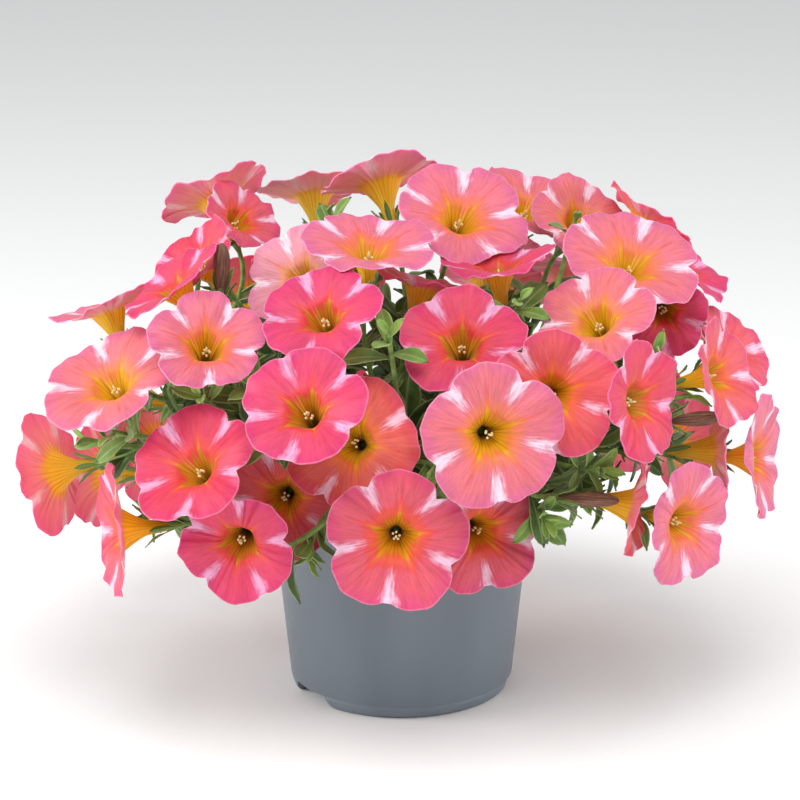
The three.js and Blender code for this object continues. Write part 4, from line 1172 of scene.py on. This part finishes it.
for stem in stems:
    add_tube(stem, stem["curve"], STEM_RADIUS)
stalks = []
for i, spot in enumerate([flower["frame"] for flower in flowers] + spent_frames):
    stem, curve = find_stalk(spot @ Vector((0, 0, -STALK_DEPTH)), spot, i)
    add_tube(stem, curve, STALK_RADIUS)
    add_calyx(stem, curve, spot)
    stalks.append((stem, curve, i))
shoots = []
for i, (u, v, y, azimuth, elevation) in enumerate(SHOOTS):
    spot = frame_at(place_at(u, v, y), azimuth, elevation)
    stem, curve = find_stalk(spot.translation, spot, i)
    add_tube(stem, curve, STALK_RADIUS)
    shoots.append((stem, curve, i))

for stem, curve, seed in shoots:
    for i in range(ROSETTE_LEAVES):
        share = i / (ROSETTE_LEAVES - 1)
        at = 1 - ((1 - share) * ROSETTE_DEPTH + 0.5) / curve.length()
        length = between(ROSETTE_LENGTH, share)
        spread = math.radians(between(ROSETTE_SPREAD, share))
        turn = i * GOLDEN_ANGLE + seed
        youth_and_light = between(ROSETTE_YOUTH_AND_LIGHT, share)
        grow_leaf(stem, curve, STALK_STEPS, at, turn, spread, length, seed + i, youth_and_light)
for stem, curve, i in stalks:
    leaves_along(stem, curve, STALK_STEPS, i + 1, STALK_LEAVES_FROM)
for i, stem in enumerate(stems):
    leaves_along(stem, stem["curve"], STEM_STEPS, i + 201, STEM_LEAVES_FROM)

# More leaves fill the plant, dark inside, partly as old leaves are and partly as painted shade, and lime at
# the tips, partly young and partly painted light. They stand clear of the petals and leave the space before
# each bloom open.
# The last number of each is at most how young and lit a leaf is: low on the main stems deep inside, which is
# partly painted shade.
FILL_STALKS = (0.1, 5.5, (15, 29), 0.4)  # from which share of the length, spacing, leaf lengths and youth
FILL_STEMS = (0.28, 3.2, (24, 40), 0.1)
FILL_SPREAD = (42, 80)
FILL_TRIES = 3
FILL_TRY_TURN = 0.37  # of the golden angle
FILL_ROSETTE = 9
FILL_ROSETTE_LENGTH = (19, 9)
FILL_ROSETTE_SPREAD = (75, 25)
# lime towards the tip, partly young green and partly painted light shining through the leaves
FILL_ROSETTE_YOUTH_AND_LIGHT = (0.35, 1)
OPEN_SPACE = 32
OPEN_WIDTH = 0.36  # as a share of the bloom's width
PETAL_GAP = 2.0
LEAFY_RADIUS = 146
LEAFY_HEIGHT = 104
LEAFY_FLOOR = 66
LEAF_MARKS = (  # points on a leaf, as shares of its length, the last at its tip
    (0.3, 0, 0.07), (0.6, 0, 0.06), (0.65, 0.17, 0.07), (0.65, -0.17, 0.07), (0.85, 0, 0.01), (1, 0, -0.03),
)
petal_solids = bmesh.new()
for node in bloom_nodes:
    petal_solids.from_mesh(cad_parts[f"bloom_{node:02d}"].data)
petal_tree = BVHTree.FromBMesh(petal_solids)
petal_solids.free()
bloom_sights = [(flower["frame"].inverted(), OPEN_WIDTH * flower["width"]) for flower in flowers]


def is_free(spot, length):
    """Whether a leaf there lies within the plant, clear of the petals and not before a bloom."""
    marks = [spot @ (Vector(mark) * length) for mark in LEAF_MARKS]
    foot = spot.translation
    tip = marks[-1]
    dome = (tip.x**2 + tip.y**2) / LEAFY_RADIUS**2 + ((tip.z - DOME_CENTRE) / LEAFY_HEIGHT) ** 2
    if dome > 1 or tip.z < LEAFY_FLOOR:
        return False
    if any(petal_tree.find_nearest(mark * MM)[3] < PETAL_GAP * MM for mark in marks):
        return False
    if petal_tree.ray_cast(foot * MM, (tip - foot).normalized(), (tip - foot).length * MM)[0]:
        return False
    for inverse, radius in bloom_sights:
        for mark in marks[1:]:
            seen = inverse @ mark
            if 0 < seen.z < OPEN_SPACE and math.hypot(seen.x, seen.y) < radius:
                return False
    return True


def fill_along(stem, curve, seed, start, spacing, lengths, youth_and_light):
    """Adds leaves along a curve where there is room."""
    count = int(curve.length() * (1 - start) / spacing)
    for i in range(count):
        share = between((start, 1), (i + 0.5) / count)
        length = between(lengths, seeded(seed, i + 100))
        spread = math.radians(between(FILL_SPREAD, seeded(seed, i + 140)))
        for attempt in range(FILL_TRIES):
            turn = (i + FILL_TRY_TURN * attempt) * GOLDEN_ANGLE + seed
            spot = leaf_frame(curve.at(share), curve.along(share), turn, spread)
            if is_free(spot, length):
                add_leaf(stem, spot, length, seed + i, youth_and_light * seeded(seed, i + 180))
                break


for stem, curve, seed in shoots:
    for i in range(FILL_ROSETTE):
        share = (i + 0.5) / FILL_ROSETTE
        at = 1 - ((1 - share) * ROSETTE_DEPTH + 0.3) / curve.length()
        spread = math.radians(between(FILL_ROSETTE_SPREAD, share))
        spot = leaf_frame(curve.at(at), curve.along(at), (i + 0.5) * GOLDEN_ANGLE + seed, spread)
        length = between(FILL_ROSETTE_LENGTH, share)
        if is_free(spot, length):
            add_leaf(stem, spot, length, seed + i, between(FILL_ROSETTE_YOUTH_AND_LIGHT, share))
for stem, curve, i in stalks:
    fill_along(stem, curve, i + 401, *FILL_STALKS)
for i, stem in enumerate(stems):
    fill_along(stem, stem["curve"], i + 601, *FILL_STEMS)

# Leaf skin is soft green with fine pale hairs, which show as a light edge. Young leaves are lime green.
leaf_skin, tree = new_material("hairy_leaf_skin")
uv = add_node(tree, "SeparateXYZ", (add_node(tree, "UVMap", uv_map="place"),))
space = add_node(tree, "TexCoord").outputs["Object"]
cloud = add_node(tree, "TexNoise", {"Vector": space, "Scale": 120.0, "Detail": 3.0})
old = add_node(tree, "ValToRGB", (cloud,), stops=((0.3, "#2b4417"), (0.55, "#436526"), (0.75, "#5c8032")))
young = add_node(tree, "ValToRGB", (cloud,), stops=((0.3, "#74993a"), (0.7, "#9cbd54")))
# The attribute mixes old green to young lime: partly the leaves' age, partly painted shade deep inside and
# painted light on the shoot tips.
youth_and_light = add_node(tree, "Attribute", attribute_name="youth_and_light").outputs["Fac"]
green = add_node(tree, "Mix", {0: youth_and_light, 6: old, 7: young}, data_type="RGBA")
off_middle = add_node(tree, "Math", (uv, 0.5), operation="PINGPONG")
rib = add_node(tree, "MapRange", (off_middle, 0.42, 0.5, 0.0, 0.4))
edge = add_node(tree, "MapRange", (off_middle, 0.0, 0.07, 0.5, 0.0))
pale = add_node(tree, "Math", (rib, edge), operation="MAXIMUM")
edged = add_node(tree, "Mix", {0: pale, 6: green, 7: linear("#b9d18c")}, data_type="RGBA")
skin_grain = add_node(tree, "TexNoise", {"Vector": space, "Scale": 900.0, "Detail": 2.0})
bump = add_node(tree, "Bump", {"Height": skin_grain, "Strength": 0.4, "Distance": 0.0004})
surface = {"Base Color": edged, "Roughness": 0.55, "IOR": 1.42, "Normal": bump}
surface |= {"Sheen Weight": 0.2, "Sheen Roughness": 0.5}
finish_material(tree, add_node(tree, "BsdfPrincipled", surface))
# Stem skin is lighter, with faint mottling.
stem_skin, tree = new_material("hairy_stem_skin")
space = add_node(tree, "TexCoord").outputs["Object"]
mottle = add_node(tree, "TexNoise", {"Vector": space, "Scale": 250.0, "Detail": 3.0})
shade = add_node(tree, "ValToRGB", (mottle,), stops=((0.3, "#587f34"), (0.7, "#86a94c")))
bump = add_node(tree, "Bump", {"Height": mottle, "Strength": 0.4, "Distance": 0.0004})
surface = {"Base Color": shade, "Roughness": 0.6, "Sheen Weight": 0.2, "Normal": bump}
finish_material(tree, add_node(tree, "BsdfPrincipled", surface))
for stem in stems:
    name = f"growth_{stem['node']}"
    growth = add_object(name, new_mesh(name, stem["growth"]), stem_skin, leaf_skin)
    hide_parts(stem["node"])
    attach(growth, "root")
